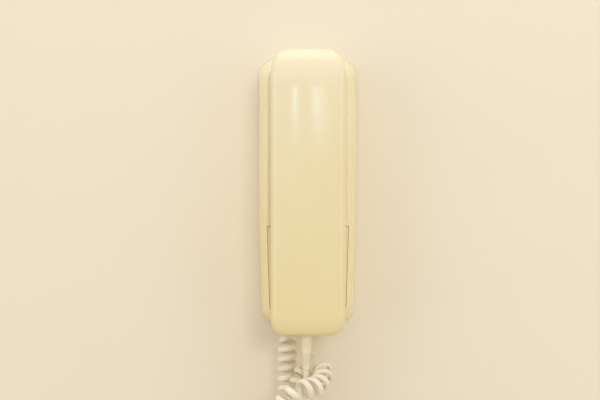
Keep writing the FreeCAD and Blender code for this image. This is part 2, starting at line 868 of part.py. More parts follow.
def lower_cover():
    seat = size.base_depth - size.cover_thickness
    body = cover_block("lower_cover", 0, seat, size.cover_thickness)
    radius = size.mouth_radius + size.seat_gap
    top = size.mouth_lift_room - size.mouth_level
    tub = wall_sketch(body, mouth_floor - size.mouth_well_wall)
    stadium(tub, 0, -size.mouth_level, top, radius + size.well_wall)
    pad(tub, seat - mouth_floor + size.mouth_well_wall + size.cover_thickness / 2)
    well = wall_sketch(body, mouth_floor)
    stadium(well, 0, -size.mouth_level, top, radius)
    cut(well, size.base_depth - mouth_floor)
    screw = 0, -size.mouth_level
    disc(body, *screw, size.screw_through, mouth_floor - size.mouth_well_wall, size.mouth_well_wall, cut)
    recess = size.screw_head + size.seat_gap
    disc(body, *screw, recess, cover_screw_seat, mouth_floor - cover_screw_seat, cut)
    return body


def screws(label, places, seat, length, forward, head=None):
    """Slotted screws with their heads on a seat. Their shanks go forward, or back towards the wall."""
    body = new_body(label)
    head = head or size.screw_head
    if forward:
        discs(body, places, head, seat - size.screw_head_height, size.screw_head_height)
        discs(body, places, size.screw_radius, seat, length)
        slot_start = seat - size.screw_head_height
    else:
        discs(body, places, head, seat, size.screw_head_height)
        discs(body, places, size.screw_radius, seat - length, length)
        slot_start = seat + size.screw_head_height - size.slot_depth
    slabs(body, places, head * 2 + size.slot_over, size.slot_width, slot_start, size.slot_depth, cut)
    return body


def circuit_board():
    body = new_body("circuit_board")
    height = size.circuit_high + size.circuit_low
    middle = (size.circuit_high - size.circuit_low) / 2
    slab(body, 0, middle, size.circuit_width, height, circuit_back, size.board_thickness)
    discs(body, circuit_screws, size.screw_through, circuit_back, size.board_thickness, cut)
    return body


def line_transformer():
    body = new_body("line_transformer")
    place_at = -size.transformer_x, size.transformer_level
    core = size.transformer_width, size.transformer_height
    slab(body, *place_at, *core, circuit_front, size.transformer_depth)
    winding_back = circuit_front + (size.transformer_depth - size.winding_depth) / 2
    slab(body, *place_at, size.winding_width, size.winding_height, winding_back, size.winding_depth)
    return body


def capacitors():
    body = new_body("capacitors")
    places = [(size.capacitor_x + size.capacitor_pitch * i, size.capacitor_level) for i in (0, 1)]
    discs(body, places, size.capacitor_radius, circuit_front, size.capacitor_height)
    return body


def ringer_chip():
    body = new_body("ringer_chip")
    place_at = 0, size.chip_level
    slab(body, *place_at, size.chip_width, size.chip_height, circuit_front, size.chip_depth)
    return body


def terminal_block():
    body = new_body("terminal_block")
    rest = size.plate_thickness
    slab(body, 0, -size.terminal_level, size.terminal_width, size.terminal_height, rest, size.terminal_depth)
    pilot = size.screw_radius + size.screw_clearance
    top = rest + size.terminal_depth
    pilot_length = size.terminal_screw_length + size.seat_gap
    discs(body, terminals, pilot, top - pilot_length, pilot_length, cut)
    ridge_places = [(size.terminal_pitch * (i - 1.5), -size.terminal_level) for i in range(4)]
    slabs(body, ridge_places, size.terminal_ridge, size.terminal_height, top, size.terminal_ridge_height)
    return body


def hook_plunger():
    body = new_body("hook_plunger")
    tip = ear_face - size.seat_gap
    disc(body, 0, size.ear_level, size.plunger_radius, plunger_back, tip - plunger_back)
    disc(body, 0, size.ear_level, size.plunger_flange, plunger_back, size.plunger_flange_thickness)
    bore_length = tip - size.plunger_cap - plunger_back
    disc(body, 0, size.ear_level, size.plunger_bore, plunger_back, bore_length, cut)
    return body


def hook_switch():
    body = new_body("hook_switch")
    middle = size.hook_switch_x + size.hook_switch_width / 2
    box = size.hook_switch_width, size.hook_switch_height
    top = plunger_back - size.hook_lever
    slab(body, middle, size.ear_level, *box, circuit_front, top - circuit_front)
    lever_start = size.plunger_radius + size.plunger_clearance
    lever_end = size.hook_switch_x + size.hook_switch_width / 2
    lever = (lever_start + lever_end) / 2, size.ear_level, lever_end - lever_start, size.hook_lever_height
    slab(body, *lever, top, size.hook_lever)
    return body


def ringer_speaker():
    body = new_body("ringer_speaker")
    front = size.base_depth - size.base_wall
    place_at = 0, size.ringer_level
    disc(body, *place_at, size.ringer_radius, front - size.ringer_height, size.ringer_height)
    return body


def ringer_switch():
    body = new_body("ringer_switch")
    back = size.switch_depth - size.switch_thickness / 2
    middle = -(size.jack_low - size.switch_height / 2)
    slab(body, size.switch_x, middle, size.switch_width, size.switch_height, back, size.switch_thickness)
    slot = floor_sketch(body, -size.jack_low)
    width = size.knob_width + size.knob_travel + size.knob_clearance * 2
    thickness = size.knob_thickness + size.knob_clearance * 2
    rectangle(slot, size.switch_x, -size.switch_depth, width, thickness)
    cut(slot, size.knob_root + size.knob_clearance)
    return body


def ringer_switch_knob():
    body = new_body("ringer_switch_knob")
    sketch = floor_sketch(body, -knob_tip)
    x = size.switch_x - size.knob_travel / 2
    rectangle(sketch, x, -size.switch_depth, size.knob_width, size.knob_thickness)
    pad(sketch, knob_tip - size.jack_low + size.knob_root)
    return body


def cord_jack():
    body = new_body("cord_jack")
    back = size.jack_depth - size.jack_thickness / 2
    middle = -(size.jack_low - size.jack_height / 2)
    slab(body, -size.jack_x, middle, size.jack_width, size.jack_height, back, size.jack_thickness)
    mouth = floor_sketch(body, -size.jack_low)
    spare = size.plug_clearance * 2
    rectangle(mouth, -size.jack_x, -size.jack_depth, size.plug_width + spare, size.plug_thickness + spare)
    cut(mouth, size.jack_mouth_height)
    return body


def rubber_bumpers():
    """Pads on the floor of the ear well, which the ear cup rests against."""
    body = new_body("rubber_bumpers")
    angles = [math.radians(a) for a in (90, 210, 330)]
    ring = size.bumper_ring
    places = [(ring * math.cos(a), size.ear_level + ring * math.sin(a)) for a in angles]
    well_floor = ear_face - size.ear_floor_gap
    discs(body, places, size.bumper_radius, well_floor, size.bumper_height)
    return body


# Pieces of the handset


def handset_outer_shell():
    body = handset_form("handset_outer_shell", 0)
    combine(body, "Cut", handset_form("handset_hollow", size.handset_wall))
    fuse_to_front = handset_front - size.handset_wall / 2
    post = fuse_to_front - handset_parting
    discs(body, handset_screws_at, size.handset_post, handset_parting, post)
    fit = size.screw_radius + size.screw_clearance
    discs(body, handset_screws_at, fit, handset_parting, size.handset_screw_length, cut)
    ballast_front = size.ballast_depth + size.ballast_thickness
    discs(body, ballast_screws_at, size.boss, ballast_front, fuse_to_front - ballast_front)
    pilot_length = size.ballast_screw_length - size.ballast_thickness + size.seat_gap
    discs(body, ballast_screws_at, fit, ballast_front, pilot_length, cut)
    hole = floor_sketch(body, -size.handset_foot)
    circle(hole, size.relief_x, -size.relief_depth, size.relief_neck + size.relief_clearance)
    cut(hole, size.handset_wall)
    return body


def handset_inner_shell():
    body = new_body("handset_inner_shell")
    form = wall_sketch(body, handset_face)
    handset_outline(form, 0)
    pad(form, size.inner_depth)
    soften(body, size.inner_edge, flat_at(handset_face))
    inside = handset_face + size.inner_floor
    lip_outside = size.handset_wall + size.lip_gap
    lip_inside = lip_outside + size.lip_thickness
    lip = wall_sketch(body, handset_parting)
    handset_outline(lip, lip_outside)
    pad(lip, size.lip_height)
    hollow = wall_sketch(body, inside)
    handset_outline(hollow, lip_inside)
    cut(hollow, size.inner_depth - size.inner_floor + size.lip_height)
    ear = size.ear_level, size.ear_radius, size.ear_depth
    mouth = -size.mouth_level, size.mouth_radius, size.mouth_depth
    for level, radius, depth in (ear, mouth):
        face = handset_face - depth
        disc(body, 0, level, radius, face, depth + size.inner_floor / 2)
        soften(body, size.cup_edge, flat_at(face))
        disc(body, 0, level, radius - size.cup_wall, face + size.cup_wall, depth, cut)
    add_sound_holes(body)
    keys = [place_at for _, place_at in key_places()]
    clear = size.key_clearance * 2
    slabs(body, keys, size.key_width + clear, size.key_height + clear, handset_face, size.inner_floor, cut)
    rooted = inside - size.inner_floor / 2
    discs(body, keypad_screws_at, size.keypad_post, rooted, board_back - rooted)
    fit = size.screw_radius + size.screw_clearance
    discs(body, keypad_screws_at, fit, inside, board_back - inside, cut)
    discs(body, handset_screws_at, size.handset_post, rooted, handset_parting - rooted)
    through = handset_parting - handset_face
    discs(body, handset_screws_at, size.screw_through, handset_face, through, cut)
    recess = size.screw_head + size.seat_gap
    discs(body, handset_screws_at, recess, handset_face, size.screw_head_height + size.screw_recess, cut)
    return body


def add_sound_holes(body):
    """Rings of holes through the faces of the two cups."""
    for count, ring, level in (
        (1, 0, size.ear_level),
        (6, size.sound_ring, size.ear_level),
        (12, size.sound_ring * 2, size.ear_level),
        (1, 0, -size.mouth_level),
        (6, size.sound_ring, -size.mouth_level),
    ):
        angles = [2 * math.pi * i / count for i in range(count)]
        places = [(ring * math.cos(a), level + ring * math.sin(a)) for a in angles]
        depth = size.ear_depth if level is size.ear_level else size.mouth_depth
        discs(body, places, size.sound_hole, handset_face - depth, size.cup_wall, cut)


def key_places():
    """Each key's name and its place on the handset's inner face."""
    names = ["1", "2", "3", "4", "5", "6", "7", "8", "9", "star", "0", "hash"]
    places = []
    for i, name in enumerate(names):
        row, column = divmod(i, 3)
        x = size.column_pitch * (1 - column)
        level = size.row_pitch * (1.5 - row) - size.keypad_level
        places.append((f"key_{name}", (x, level)))
    return places


def key(label, x, level):
    """A key cap with a flange behind the shell that stops it falling out."""
    body = new_body(label)
    cap = wall_sketch(body)
    rounded_about(cap, 0, 0, size.key_width, size.key_height, size.key_corner)
    flange_start = size.key_rise + size.inner_floor + size.key_seat
    pad(cap, flange_start)
    soften(body, size.key_edge, flat_at(0))
    spread = size.key_flange * 2
    flange = size.key_width + spread, size.key_height + spread
    slab(body, 0, 0, *flange, flange_start, size.key_flange_thickness)
    return place(body, x, handset_face - size.key_rise, level)


def key_mat():
    """The rubber mat behind the keys, with a dome under each."""
    body = new_body("key_mat")
    back = board_back - size.mat_thickness
    width = size.column_pitch * 2 + size.key_width
    height = size.row_pitch * 3 + size.key_height
    slab(body, 0, -size.keypad_level, width, height, back, size.mat_thickness)
    places = [place_at for _, place_at in key_places()]
    length = size.dome_height + size.mat_thickness / 2
    discs(body, places, size.dome_radius, back - size.dome_height, length)
    return body


def keypad_board():
    body = new_body("keypad_board")
    board = size.keypad_board_width, (keypad_screw_z + size.keypad_screw_margin) * 2
    slab(body, 0, -size.keypad_level, *board, board_back, size.board_thickness)
    discs(body, keypad_screws_at, size.screw_through, board_back, size.board_thickness, cut)
    return body


def dial_chip():
    body = new_body("dial_chip")
    level = -size.keypad_level
    slab(body, 0, level, size.chip_width, size.chip_height, board_front, size.chip_depth)
    return body


def receiver_gasket():
    body = new_body("receiver_gasket")
    ring = wall_sketch(body, receiver_seat)
    circle(ring, 0, size.ear_level, receiver_radius)
    circle(ring, 0, size.ear_level, size.gasket_hole)
    pad(ring, size.gasket_thickness)
    return body


def receiver_capsule():
    body = new_body("receiver_capsule")
    start = receiver_seat + size.gasket_thickness
    disc(body, 0, size.ear_level, receiver_radius, start, size.receiver_height)
    magnet = start + size.receiver_height
    disc(body, 0, size.ear_level, size.receiver_magnet, magnet, size.receiver_magnet_height)
    return body


def microphone_boot():
    body = new_body("microphone_boot")
    start = handset_face - size.mouth_depth + size.cup_wall
    radius = size.mouth_radius - size.cup_wall - size.boot_fit
    place_at = 0, -size.mouth_level
    disc(body, *place_at, radius, start, size.boot_height)
    disc(body, *place_at, size.boot_hole, start, size.boot_floor, cut)
    bore = size.microphone_radius + size.screw_clearance
    disc(body, *place_at, bore, start + size.boot_floor, size.boot_height - size.boot_floor, cut)
    return body


def microphone_capsule():
    body = new_body("microphone_capsule")
    start = handset_face - size.mouth_depth + size.cup_wall + size.boot_floor
    disc(body, 0, -size.mouth_level, size.microphone_radius, start, size.microphone_height)
    return body


def ballast_weight():
    body = new_body("ballast_weight")
    plate = wall_sketch(body, size.ballast_depth)
    outline = size.ballast_width, size.ballast_height, size.ballast_corner
    rounded_about(plate, 0, -size.ballast_level, *outline)
    pad(plate, size.ballast_thickness)
    discs(body, ballast_screws_at, size.screw_through, size.ballast_depth, size.ballast_thickness, cut)
    return body


def strain_relief():
    """The tapered sleeve where the cord leaves the handset, turned about its own middle line."""
    body = new_body("strain_relief")
    wall = size.handset_wall
    flange_top = wall + size.relief_flange_thickness
    profile = [
        (0, flange_top),
        (size.relief_flange, flange_top),
        (size.relief_flange, wall),
        (size.relief_neck, wall),
        (size.relief_neck, 0),
        (size.relief_root, 0),
        (size.relief_shoulder, -size.relief_stem),
        (size.relief_step, -size.relief_stem),
        (size.relief_tip, -size.relief_length),
        (0, -size.relief_length),
    ]
    sketch = wall_sketch(body)
    polygon(sketch, profile)
    doc.recompute()
    turned = body.newObject("PartDesign::Revolution", "strain_relief_Revolution")
    turned.Profile = sketch
    turned.ReferenceAxis = (sketch, ["V_Axis"])
    turned.Angle = 360
    doc.recompute()
    return place(body, size.relief_x, size.relief_depth, -size.handset_foot)


def cord_plug():
    body = new_body("cord_plug")
    sketch = floor_sketch(body)
    rounded_about(sketch, 0, 0, size.plug_width, size.plug_thickness, size.plug_corner)
    pad(sketch, size.plug_length)
    return place(body, -size.jack_x, size.jack_depth, plug_level)


# Tubes: leads along straight runs and arcs, and wound wire


class Middle:
    """The line that wound wire goes round: a smooth curve that its points pull towards them."""

    STEP = 0.5
    EVEN = 3.0  # the length each way that its bends are evened out over

    def __init__(self, points):
        curve = Part.BSplineCurve()
        spans = len(points) - 2
        knots = list(range(spans + 1))
        curve.buildFromPolesMultsKnots(points, [3] + [1] * (spans - 1) + [3], knots, False, 2)
        self.length = curve.length()
        count = math.ceil(self.length / self.STEP)
        self.frames = []
        bends = []
        across = Vector(1, 0, 0)
        for i in range(count + 1):
            at = curve.parameterAtDistance(self.length * i / count, curve.FirstParameter)
            tangent = curve.tangent(at)[0]
            across = (across - tangent * across.dot(tangent)).normalize()
            self.frames.append((curve.value(at), tangent, across, tangent.cross(across)))
            bends.append(curve.curvature(at))
        even = round(self.EVEN / self.STEP)
        near = [bends[max(i - even, 0) : i + even + 1] for i in range(count + 1)]
        self.bends = [sum(around) / len(around) for around in near]

    def bend(self, distance):
        """One over the radius it bends with at a distance along."""
        return self.bends[round(distance / self.length * (len(self.bends) - 1))]

    def frame(self, distance):
        """The place, the tangent and two directions across it that don't twist, at a distance along."""
        share = distance / self.length * (len(self.frames) - 1)
        i = min(max(int(share), 0), len(self.frames) - 2)
        mixed = [a * (i + 1 - share) + b * (share - i) for a, b in zip(self.frames[i], self.frames[i + 1])]
        return [mixed[0]] + [v.normalize() for v in mixed[1:]]


def eased(x):
    x = min(max(x, 0), 1)
    return x * x * (3 - 2 * x)


class Winding:
    """Wire wound round a middle line. Its turns spread in bends, to keep clear of each other inside them."""

    def __init__(self, middle, radius, pitch, inside=0, leads=(0, 0), ramp=0):
        self.middle, self.radius, self.leads, self.ramp = middle, radius, leads, ramp
        self.turned = [0.0]
        self.count = math.ceil(middle.length / middle.STEP) * 5
        step = middle.length / self.count
        for i in range(self.count):
            distance = (i + 0.5) * step
            spread = max(pitch, inside / (1 - radius * middle.bend(distance)))
            turn = 2 * math.pi * step / spread / (2 - self.out(distance))
            self.turned.append(self.turned[-1] + turn)

    def out(self, distance):
        """How far out the wire is, from 0 on the middle line to 1 in a full turn."""
        nearest = min(distance - self.leads[0], self.middle.length - distance - self.leads[1])
        return eased(nearest / self.ramp) if self.ramp else 1

    def at(self, distance):
        share = distance / self.middle.length * self.count
        i = min(max(int(share), 0), self.count - 1)
        angle = self.turned[i] * (i + 1 - share) + self.turned[i + 1] * (share - i)
        place_at, _, across, other = self.middle.frame(distance)
        reach = self.radius * self.out(distance)
        return place_at + (across * math.cos(angle) + other * math.sin(angle)) * reach

    def quarters(self):
        """The distances along the middle line at every quarter turn of the wire."""
        start = self.leads[0]
        end = self.middle.length - self.leads[1]
        wanted = [start]
        for i in range(self.count):
            distance = (i + 1) * self.middle.length / self.count
            quarter = int(self.turned[i + 1] / (math.pi / 2)) > int(self.turned[i] / (math.pi / 2))
            if quarter and wanted[-1] + 1 < distance < end - 1:
                wanted.append(distance)
        return wanted + [end]

    def direction(self, distance):
        near = min(max(distance, 0.02), self.middle.length - 0.02)
        return (self.at(near + 0.02) - self.at(near - 0.02)).normalize()


def arc_from(start, tangent, end):
    """The arc that leaves start along a tangent and comes to end."""
    chord = end - start
    normal = tangent.cross(chord)
    if normal.Length < 1e-6 * chord.Length:
        return Part.LineSegment(start, end).toShape()
    across = normal.normalize().cross(tangent)
    radius = chord.dot(chord) / (2 * chord.dot(across))
    middle = start + across * radius
    bulge = ((start + end) * 0.5 - middle).normalize() * radius
    return Part.Arc(start, middle + bulge, end).toShape()


def biarc(start, leaving, end, arriving):
    """Two arcs, tangent to each other, from one place and direction to another."""
    chord = end - start
    both = leaving + arriving
    bend = 2 * (1 - leaving.dot(arriving))
    along = chord.dot(both)
    if bend < 1e-9:
        reach = chord.dot(chord) / (4 * chord.dot(arriving))
    else:
        reach = (math.sqrt(along * along + bend * chord.dot(chord)) - along) / bend
    joint = (start + leaving * reach + end - arriving * reach) * 0.5
    return [arc_from(start, leaving, joint), arc_from(end, -arriving, joint)]


def wound_path(winding):
    distances = winding.quarters()
    places = [winding.at(d) for d in distances]
    directions = [winding.direction(d) for d in distances]
    edges = []
    if winding.leads[0]:
        edges.append(Part.LineSegment(winding.at(0), places[0]).toShape())
    for i in range(len(places) - 1):
        edges += biarc(places[i], directions[i], places[i + 1], directions[i + 1])
    if winding.leads[1]:
        edges.append(Part.LineSegment(places[-1], winding.at(winding.middle.length)).toShape())
    return Part.Wire(edges)


def tube(label, path, radius):
    """A round tube along a path."""
    start = path.OrderedEdges[0]
    first = start.firstVertex(True).Point
    tangent = start.tangentAt(start.FirstParameter)
    ring = Part.Wire(Part.makeCircle(radius, first, tangent))
    shell = Part.BRepOffsetAPI.MakePipeShell(path)
    shell.add(ring)
    shell.build()
    shell.makeSolid()
    made = doc.addObject("Part::Feature", label)
    made.Label = label
    made.Shape = shell.shape()
    made.Placement = FreeCAD.Placement()
    wanted = math.pi * radius**2 * path.Length
    bends = [edge.Curve.Radius for edge in path.Edges if hasattr(edge.Curve, "Radius")]
    share = made.Shape.Volume / wanted
    print(f"{label}: {path.Length:.0f} mm long, volume {share:.4f} of section times length,")
    print(f"  {len(bends)} bends of {min(bends):.2f} to {max(bends):.2f} mm")
    return made


def least_gap(winding, wire):
    """The least room between the wire's surface and itself, past half a turn away."""
    step = 0.2
    places = [winding.at(i * step) for i in range(int(winding.middle.length / step))]
    run = [0.0]
    for one, following in zip(places, places[1:]):
        run.append(run[-1] + one.distanceToPoint(following))
    past = math.pi * winding.radius
    cells = {}
    for i, one in enumerate(places):
        cells.setdefault(cell_of(one, wire), []).append(i)
    least = math.inf
    for i, one in enumerate(places):
        x, y, z = cell_of(one, wire)
        around = itertools.product((x - 1, x, x + 1), (y - 1, y, y + 1), (z - 1, z, z + 1))
        near = [j for cell in around for j in cells.get(cell, []) if run[j] - run[i] > past]
        least = min([least] + [one.distanceToPoint(places[j]) for j in near])
    return least - 2 * wire


def cell_of(place_at, wire):
    return tuple(int(value // (3 * wire)) for value in place_at)


def curly_cord():
    """The cord's turns, wound round its route. The route's points stay as chosen."""
    route = [Vector(x, -depth, level) for x, depth, level in CORD_ROUTE]
    wire = size.cord_radius.value
    sizes = size.coil_radius, size.coil_pitch, size.coil_inside
    leads = size.coil_drop.value, 2 * wire
    winding = Winding(Middle(route), *[s.value for s in sizes], leads, size.coil_ramp.value)
    turns = winding.turned[-1] / (2 * math.pi)
    print(f"curly_cord: {turns:.1f} turns, least gap to itself {least_gap(winding, wire):.2f} mm")
    return tube("curly_cord", wound_path(winding), wire)


def hook_spring():
    """A coil spring from the circuit board to the end of the plunger's bore."""
    wire = size.spring_wire.value / 2
    low = circuit_front.value + wire
    high = ear_face.value - size.seat_gap.value - size.plunger_cap.value - wire
    ends = [Vector(0, -depth, size.ear_level.value) for depth in (low, (low + high) / 2, high)]
    winding = Winding(Middle(ends), size.spring_radius.value, size.spring_pitch.value)
    return tube("hook_spring", wound_path(winding), wire)


def lead(label, corners):
    """A thin lead along straight runs, with arcs as large as the runs allow."""
    points = [Vector(x, -depth, level) for x, depth, level in corners]
    edges = []
    start = points[0]
    for before, corner, after in zip(points, points[1:], points[2:]):
        into = (corner - before).normalize()
        onward = (after - corner).normalize()
        set_back = 0.45 * min(corner.distanceToPoint(before), corner.distanceToPoint(after))
        arc_start = corner - into * set_back
        arc_end = corner + onward * set_back
        edges.append(Part.LineSegment(start, arc_start).toShape())
        edges.append(arc_from(arc_start, into, arc_end))
        start = arc_end
    edges.append(Part.LineSegment(start, points[-1]).toShape())
    return tube(label, Part.Wire(edges), size.lead_radius.value)


doc = FreeCAD.newDocument("WallTelephone")
size = Sheet(doc)

# Depths and levels where pieces meet
handset_face = size.base_depth + size.handset_gap
handset_parting = handset_face + size.inner_depth
handset_front = handset_face + size.handset_thickness
ear_face = handset_face - size.ear_depth
mouth_floor = handset_face - size.mouth_depth - size.mouth_floor_gap
cover_screw_seat = mouth_floor - size.mouth_well_wall + size.cover_screw_floor
circuit_back = size.plate_thickness + size.standoff_height
circuit_front = circuit_back + size.board_thickness
plunger_room = size.plunger_travel + size.plunger_flange_thickness + size.seat_gap
plunger_back = ear_face - size.ear_floor_gap - size.well_wall - plunger_room
receiver_seat = ear_face + size.cup_wall
receiver_radius = size.ear_radius - size.cup_wall - size.receiver_fit
mat_front = handset_face + size.inner_floor + size.key_seat + size.key_flange_thickness + size.key_travel
board_back = mat_front + size.dome_gap + size.dome_height + size.mat_thickness
board_front = board_back + size.board_thickness
knob_tip = size.base_foot - size.knob_inset
plug_level = size.jack_mouth_height - size.jack_low - size.plug_clearance - size.plug_length

# Places in X and Z that several pieces share
wall_screws = [(0, size.wall_screw_pitch / 2), (0, -size.wall_screw_pitch / 2)]
housing_screws_at = [
    (x, z)
    for x in (-size.housing_screw_x, size.housing_screw_x)
    for z in (size.housing_screw_high, -size.housing_screw_low)
]
circuit_screws = [
    (x, z)
    for x in (-size.circuit_screw_x, size.circuit_screw_x)
    for z in (size.circuit_screw_high, -size.circuit_screw_low)
]
terminals = [(size.terminal_pitch * i, -size.terminal_level) for i in (-1, 0, 1)]
handset_screws_at = [(0, size.handset_screw_high), (0, -size.handset_screw_low)]
keypad_screw_x = size.keypad_board_width / 2 - size.keypad_screw_margin
keypad_half = (size.row_pitch * 3 + size.key_height) / 2
keypad_screw_z = keypad_half + size.key_flange + size.keypad_post_room + size.keypad_post
keypad_screws_at = [
    (x, z - size.keypad_level)
    for x in (-keypad_screw_x, keypad_screw_x)
    for z in (keypad_screw_z, -keypad_screw_z)
]
ballast_screws_at = [(0, size.ballast_screw_pitch * i - size.ballast_level) for i in (-0.5, 0.5)]


def base_pieces():
    plate_seat = size.screw_head_height + size.screw_recess
    terminal_top = size.plate_thickness + size.terminal_depth
    terminal_screw = size.terminal_screw_length, False, size.terminal_screw_head
    return [
        wall_bracket(),
        back_plate(),
        base_housing(),
        lower_cover(),
        screws("cover_screw", [(0, -size.mouth_level)], cover_screw_seat, size.cover_screw_length, False),
        screws("housing_screws", housing_screws_at, plate_seat, size.housing_screw_length, True),
        circuit_board(),
        screws("board_screws", circuit_screws, circuit_front, size.circuit_screw_length, False),
        line_transformer(),
        capacitors(),
        ringer_chip(),
        terminal_block(),
        screws("terminal_screws", terminals, terminal_top, *terminal_screw),
        hook_plunger(),
        hook_spring(),
        hook_switch(),
        ringer_speaker(),
        ringer_switch(),
        ringer_switch_knob(),
        cord_jack(),
        rubber_bumpers(),
        lead("jack_leads", JACK_LEADS),
        lead("line_leads", LINE_LEADS),
        lead("ringer_leads", RINGER_LEADS),
    ]


def handset_pieces():
    seat = handset_face + size.screw_head_height + size.screw_recess
    keys = [key(label, *place_at) for label, place_at in key_places()]
    return [
        handset_outer_shell(),
        handset_inner_shell(),
        screws("handset_screws", handset_screws_at, seat, size.handset_screw_length, True),
        receiver_gasket(),
        receiver_capsule(),
        microphone_boot(),
        microphone_capsule(),
        key_mat(),
        keypad_board(),
        dial_chip(),
        ballast_weight(),
        screws("ballast_screws", ballast_screws_at, size.ballast_depth, size.ballast_screw_length, True),
        screws("keypad_screws", keypad_screws_at, board_front, size.keypad_screw_length, False),
        lead("receiver_leads", RECEIVER_LEADS),
        lead("cord_leads", CORD_LEADS),
        strain_relief(),
        *keys,
    ]


def check(pieces):
    """Stops if anything in the document failed or a piece has no sound shape."""
    failed = [o.Name for o in doc.Objects if {"Invalid", "Error"} & set(o.State)]
    if failed:
        raise RuntimeError(f"these features failed: {failed}")
    for piece in pieces:
        shape = piece.Shape
        if shape.isNull() or not shape.isValid() or not shape.Solids:
            raise RuntimeError(f"{piece.Label} has no sound shape")


pieces = base_pieces() + handset_pieces() + [curly_cord(), cord_plug()]
doc.recompute()
check(pieces)
os.makedirs("parts", exist_ok=True)
for piece in pieces:
    piece.Shape.exportStep(f"parts/{piece.Label}.step")
print(f"{len(pieces)} pieces written")
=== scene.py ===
# %% [markdown]
# # A slim wall telephone
# This telephone hangs flat on a bedroom wall. A long handset covers a slightly wider base, and a curly cord joins the
# two below. The moulded solids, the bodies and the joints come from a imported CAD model, and this lesson dresses them:
# it softens their edges, winds the cord, prints the keys and gives every plastic, metal and rubber its finish.
# Everything is in metres. The wall is the plane Y = 0, the telephone stands out from it towards -Y, and +Z is up.

# %% Load the frame
import json
import math

import bmesh
import bpy
from mathutils import Matrix, Vector
from mathutils.geometry import convex_hull_2d


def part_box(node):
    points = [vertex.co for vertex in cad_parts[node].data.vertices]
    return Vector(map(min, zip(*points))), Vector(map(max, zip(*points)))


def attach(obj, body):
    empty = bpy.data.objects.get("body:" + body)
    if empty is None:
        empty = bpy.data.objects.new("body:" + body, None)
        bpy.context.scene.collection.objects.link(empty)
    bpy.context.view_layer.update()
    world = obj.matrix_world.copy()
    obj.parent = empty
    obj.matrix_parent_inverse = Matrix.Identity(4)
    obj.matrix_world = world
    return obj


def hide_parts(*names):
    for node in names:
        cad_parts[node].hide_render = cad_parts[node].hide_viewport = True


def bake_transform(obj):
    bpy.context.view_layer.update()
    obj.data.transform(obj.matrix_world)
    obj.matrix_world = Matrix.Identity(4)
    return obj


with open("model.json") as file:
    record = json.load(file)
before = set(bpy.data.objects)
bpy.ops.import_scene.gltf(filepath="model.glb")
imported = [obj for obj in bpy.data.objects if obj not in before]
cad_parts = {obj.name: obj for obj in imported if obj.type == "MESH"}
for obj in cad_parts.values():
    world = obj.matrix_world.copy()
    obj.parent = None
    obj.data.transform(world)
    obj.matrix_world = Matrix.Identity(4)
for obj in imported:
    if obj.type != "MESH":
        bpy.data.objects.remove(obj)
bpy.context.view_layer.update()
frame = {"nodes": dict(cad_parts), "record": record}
nodes = frame["nodes"]
MM = 0.001

# %% [markdown]
# ## The camera
# The telephone is seen from straight in front, from 60 cm off the wall and a little to the left of its middle, with a
# lens of normal length. A near camera matters here: it is what shows the base's flanks on both sides of the handset.

# %% Camera
CAMERA_PLACE = Vector((-5.3, -600.0, -7.3)) * MM
CAMERA_LENS = 51.1

camera_data = bpy.data.cameras.new("camera")
camera_data.lens = CAMERA_LENS
camera_data.sensor_width = 36.0
camera_data.clip_start = 0.01
camera = bpy.data.objects.new("camera", camera_data)
camera.location = CAMERA_PLACE
camera.rotation_euler = (math.radians(90), 0, 0)
bpy.context.scene.collection.objects.link(camera)
bpy.context.scene.camera = camera
print("camera", round(-CAMERA_PLACE.y / MM), "mm from the wall")

# %% [markdown]
# ## The wall and the floor
# The telephone hangs on a plain pale wall. The wall lets the camera see through its back, so that the telephone can
# be looked at from behind too, and it has a hole just inside the base's outline, so that light reaches the back
# plate. The hole takes its shape from the corners of the housing that lie at the wall. Its rim is extruded, and each
# new corner then goes out to the wall's edge, in the direction in which it lies from the hole's middle.

# %% Wall and floor
WALL_GAP = 0.6 * MM
WALL_REACH = 2.4
FLOOR_LEVEL = -1.3
HOLE_INSET = 1.0 * MM


def backdrop(name, bm):
    mesh = bpy.data.meshes.new(name)
    bm.to_mesh(mesh)
    bm.free()
    thing = bpy.data.objects.new(name, mesh)
    bpy.context.scene.collection.objects.link(thing)
    return thing


def extruded(bm, edges):
    """Extrudes some edges, and gives the new vertices."""
    made = bmesh.ops.extrude_edge_only(bm, edges=edges)["geom"]
    return [part for part in made if isinstance(part, bmesh.types.BMVert)]


housing_low, housing_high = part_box("base_housing")
hole_middle = (housing_low.z + housing_high.z) / 2
hole_width, hole_height = housing_high.x - HOLE_INSET, (housing_high.z - housing_low.z) / 2 - HOLE_INSET
inwards = hole_width / housing_high.x, hole_height / (hole_height + HOLE_INSET)
wall_middle, wall_height = (WALL_REACH + FLOOR_LEVEL) / 2, (WALL_REACH - FLOOR_LEVEL) / 2
at_wall = [v.co.xz for v in nodes["base_housing"].data.vertices if v.co.y > -WALL_GAP]
wall_mesh = bmesh.new()
rim = []
for corner in (at_wall[i] for i in convex_hull_2d(at_wall)):
    level = hole_middle + (corner.y - hole_middle) * inwards[1]
    rim.append(wall_mesh.verts.new((corner.x * inwards[0], WALL_GAP, level)))
rim_edges = [wall_mesh.edges.new(pair) for pair in zip(rim, rim[1:] + rim[:1])]
for vertex in extruded(wall_mesh, rim_edges):
    across, up = vertex.co.x / hole_width, (vertex.co.z - hole_middle) / hole_height
    reach = 1 / max(abs(across), abs(up))
    vertex.co.x = across * reach * WALL_REACH
    vertex.co.z = wall_middle + up * reach * wall_height
wall_mesh.normal_update()
bmesh.ops.reverse_faces(wall_mesh, faces=[face for face in wall_mesh.faces if face.normal.y > 0])
wall = backdrop("wall", wall_mesh)

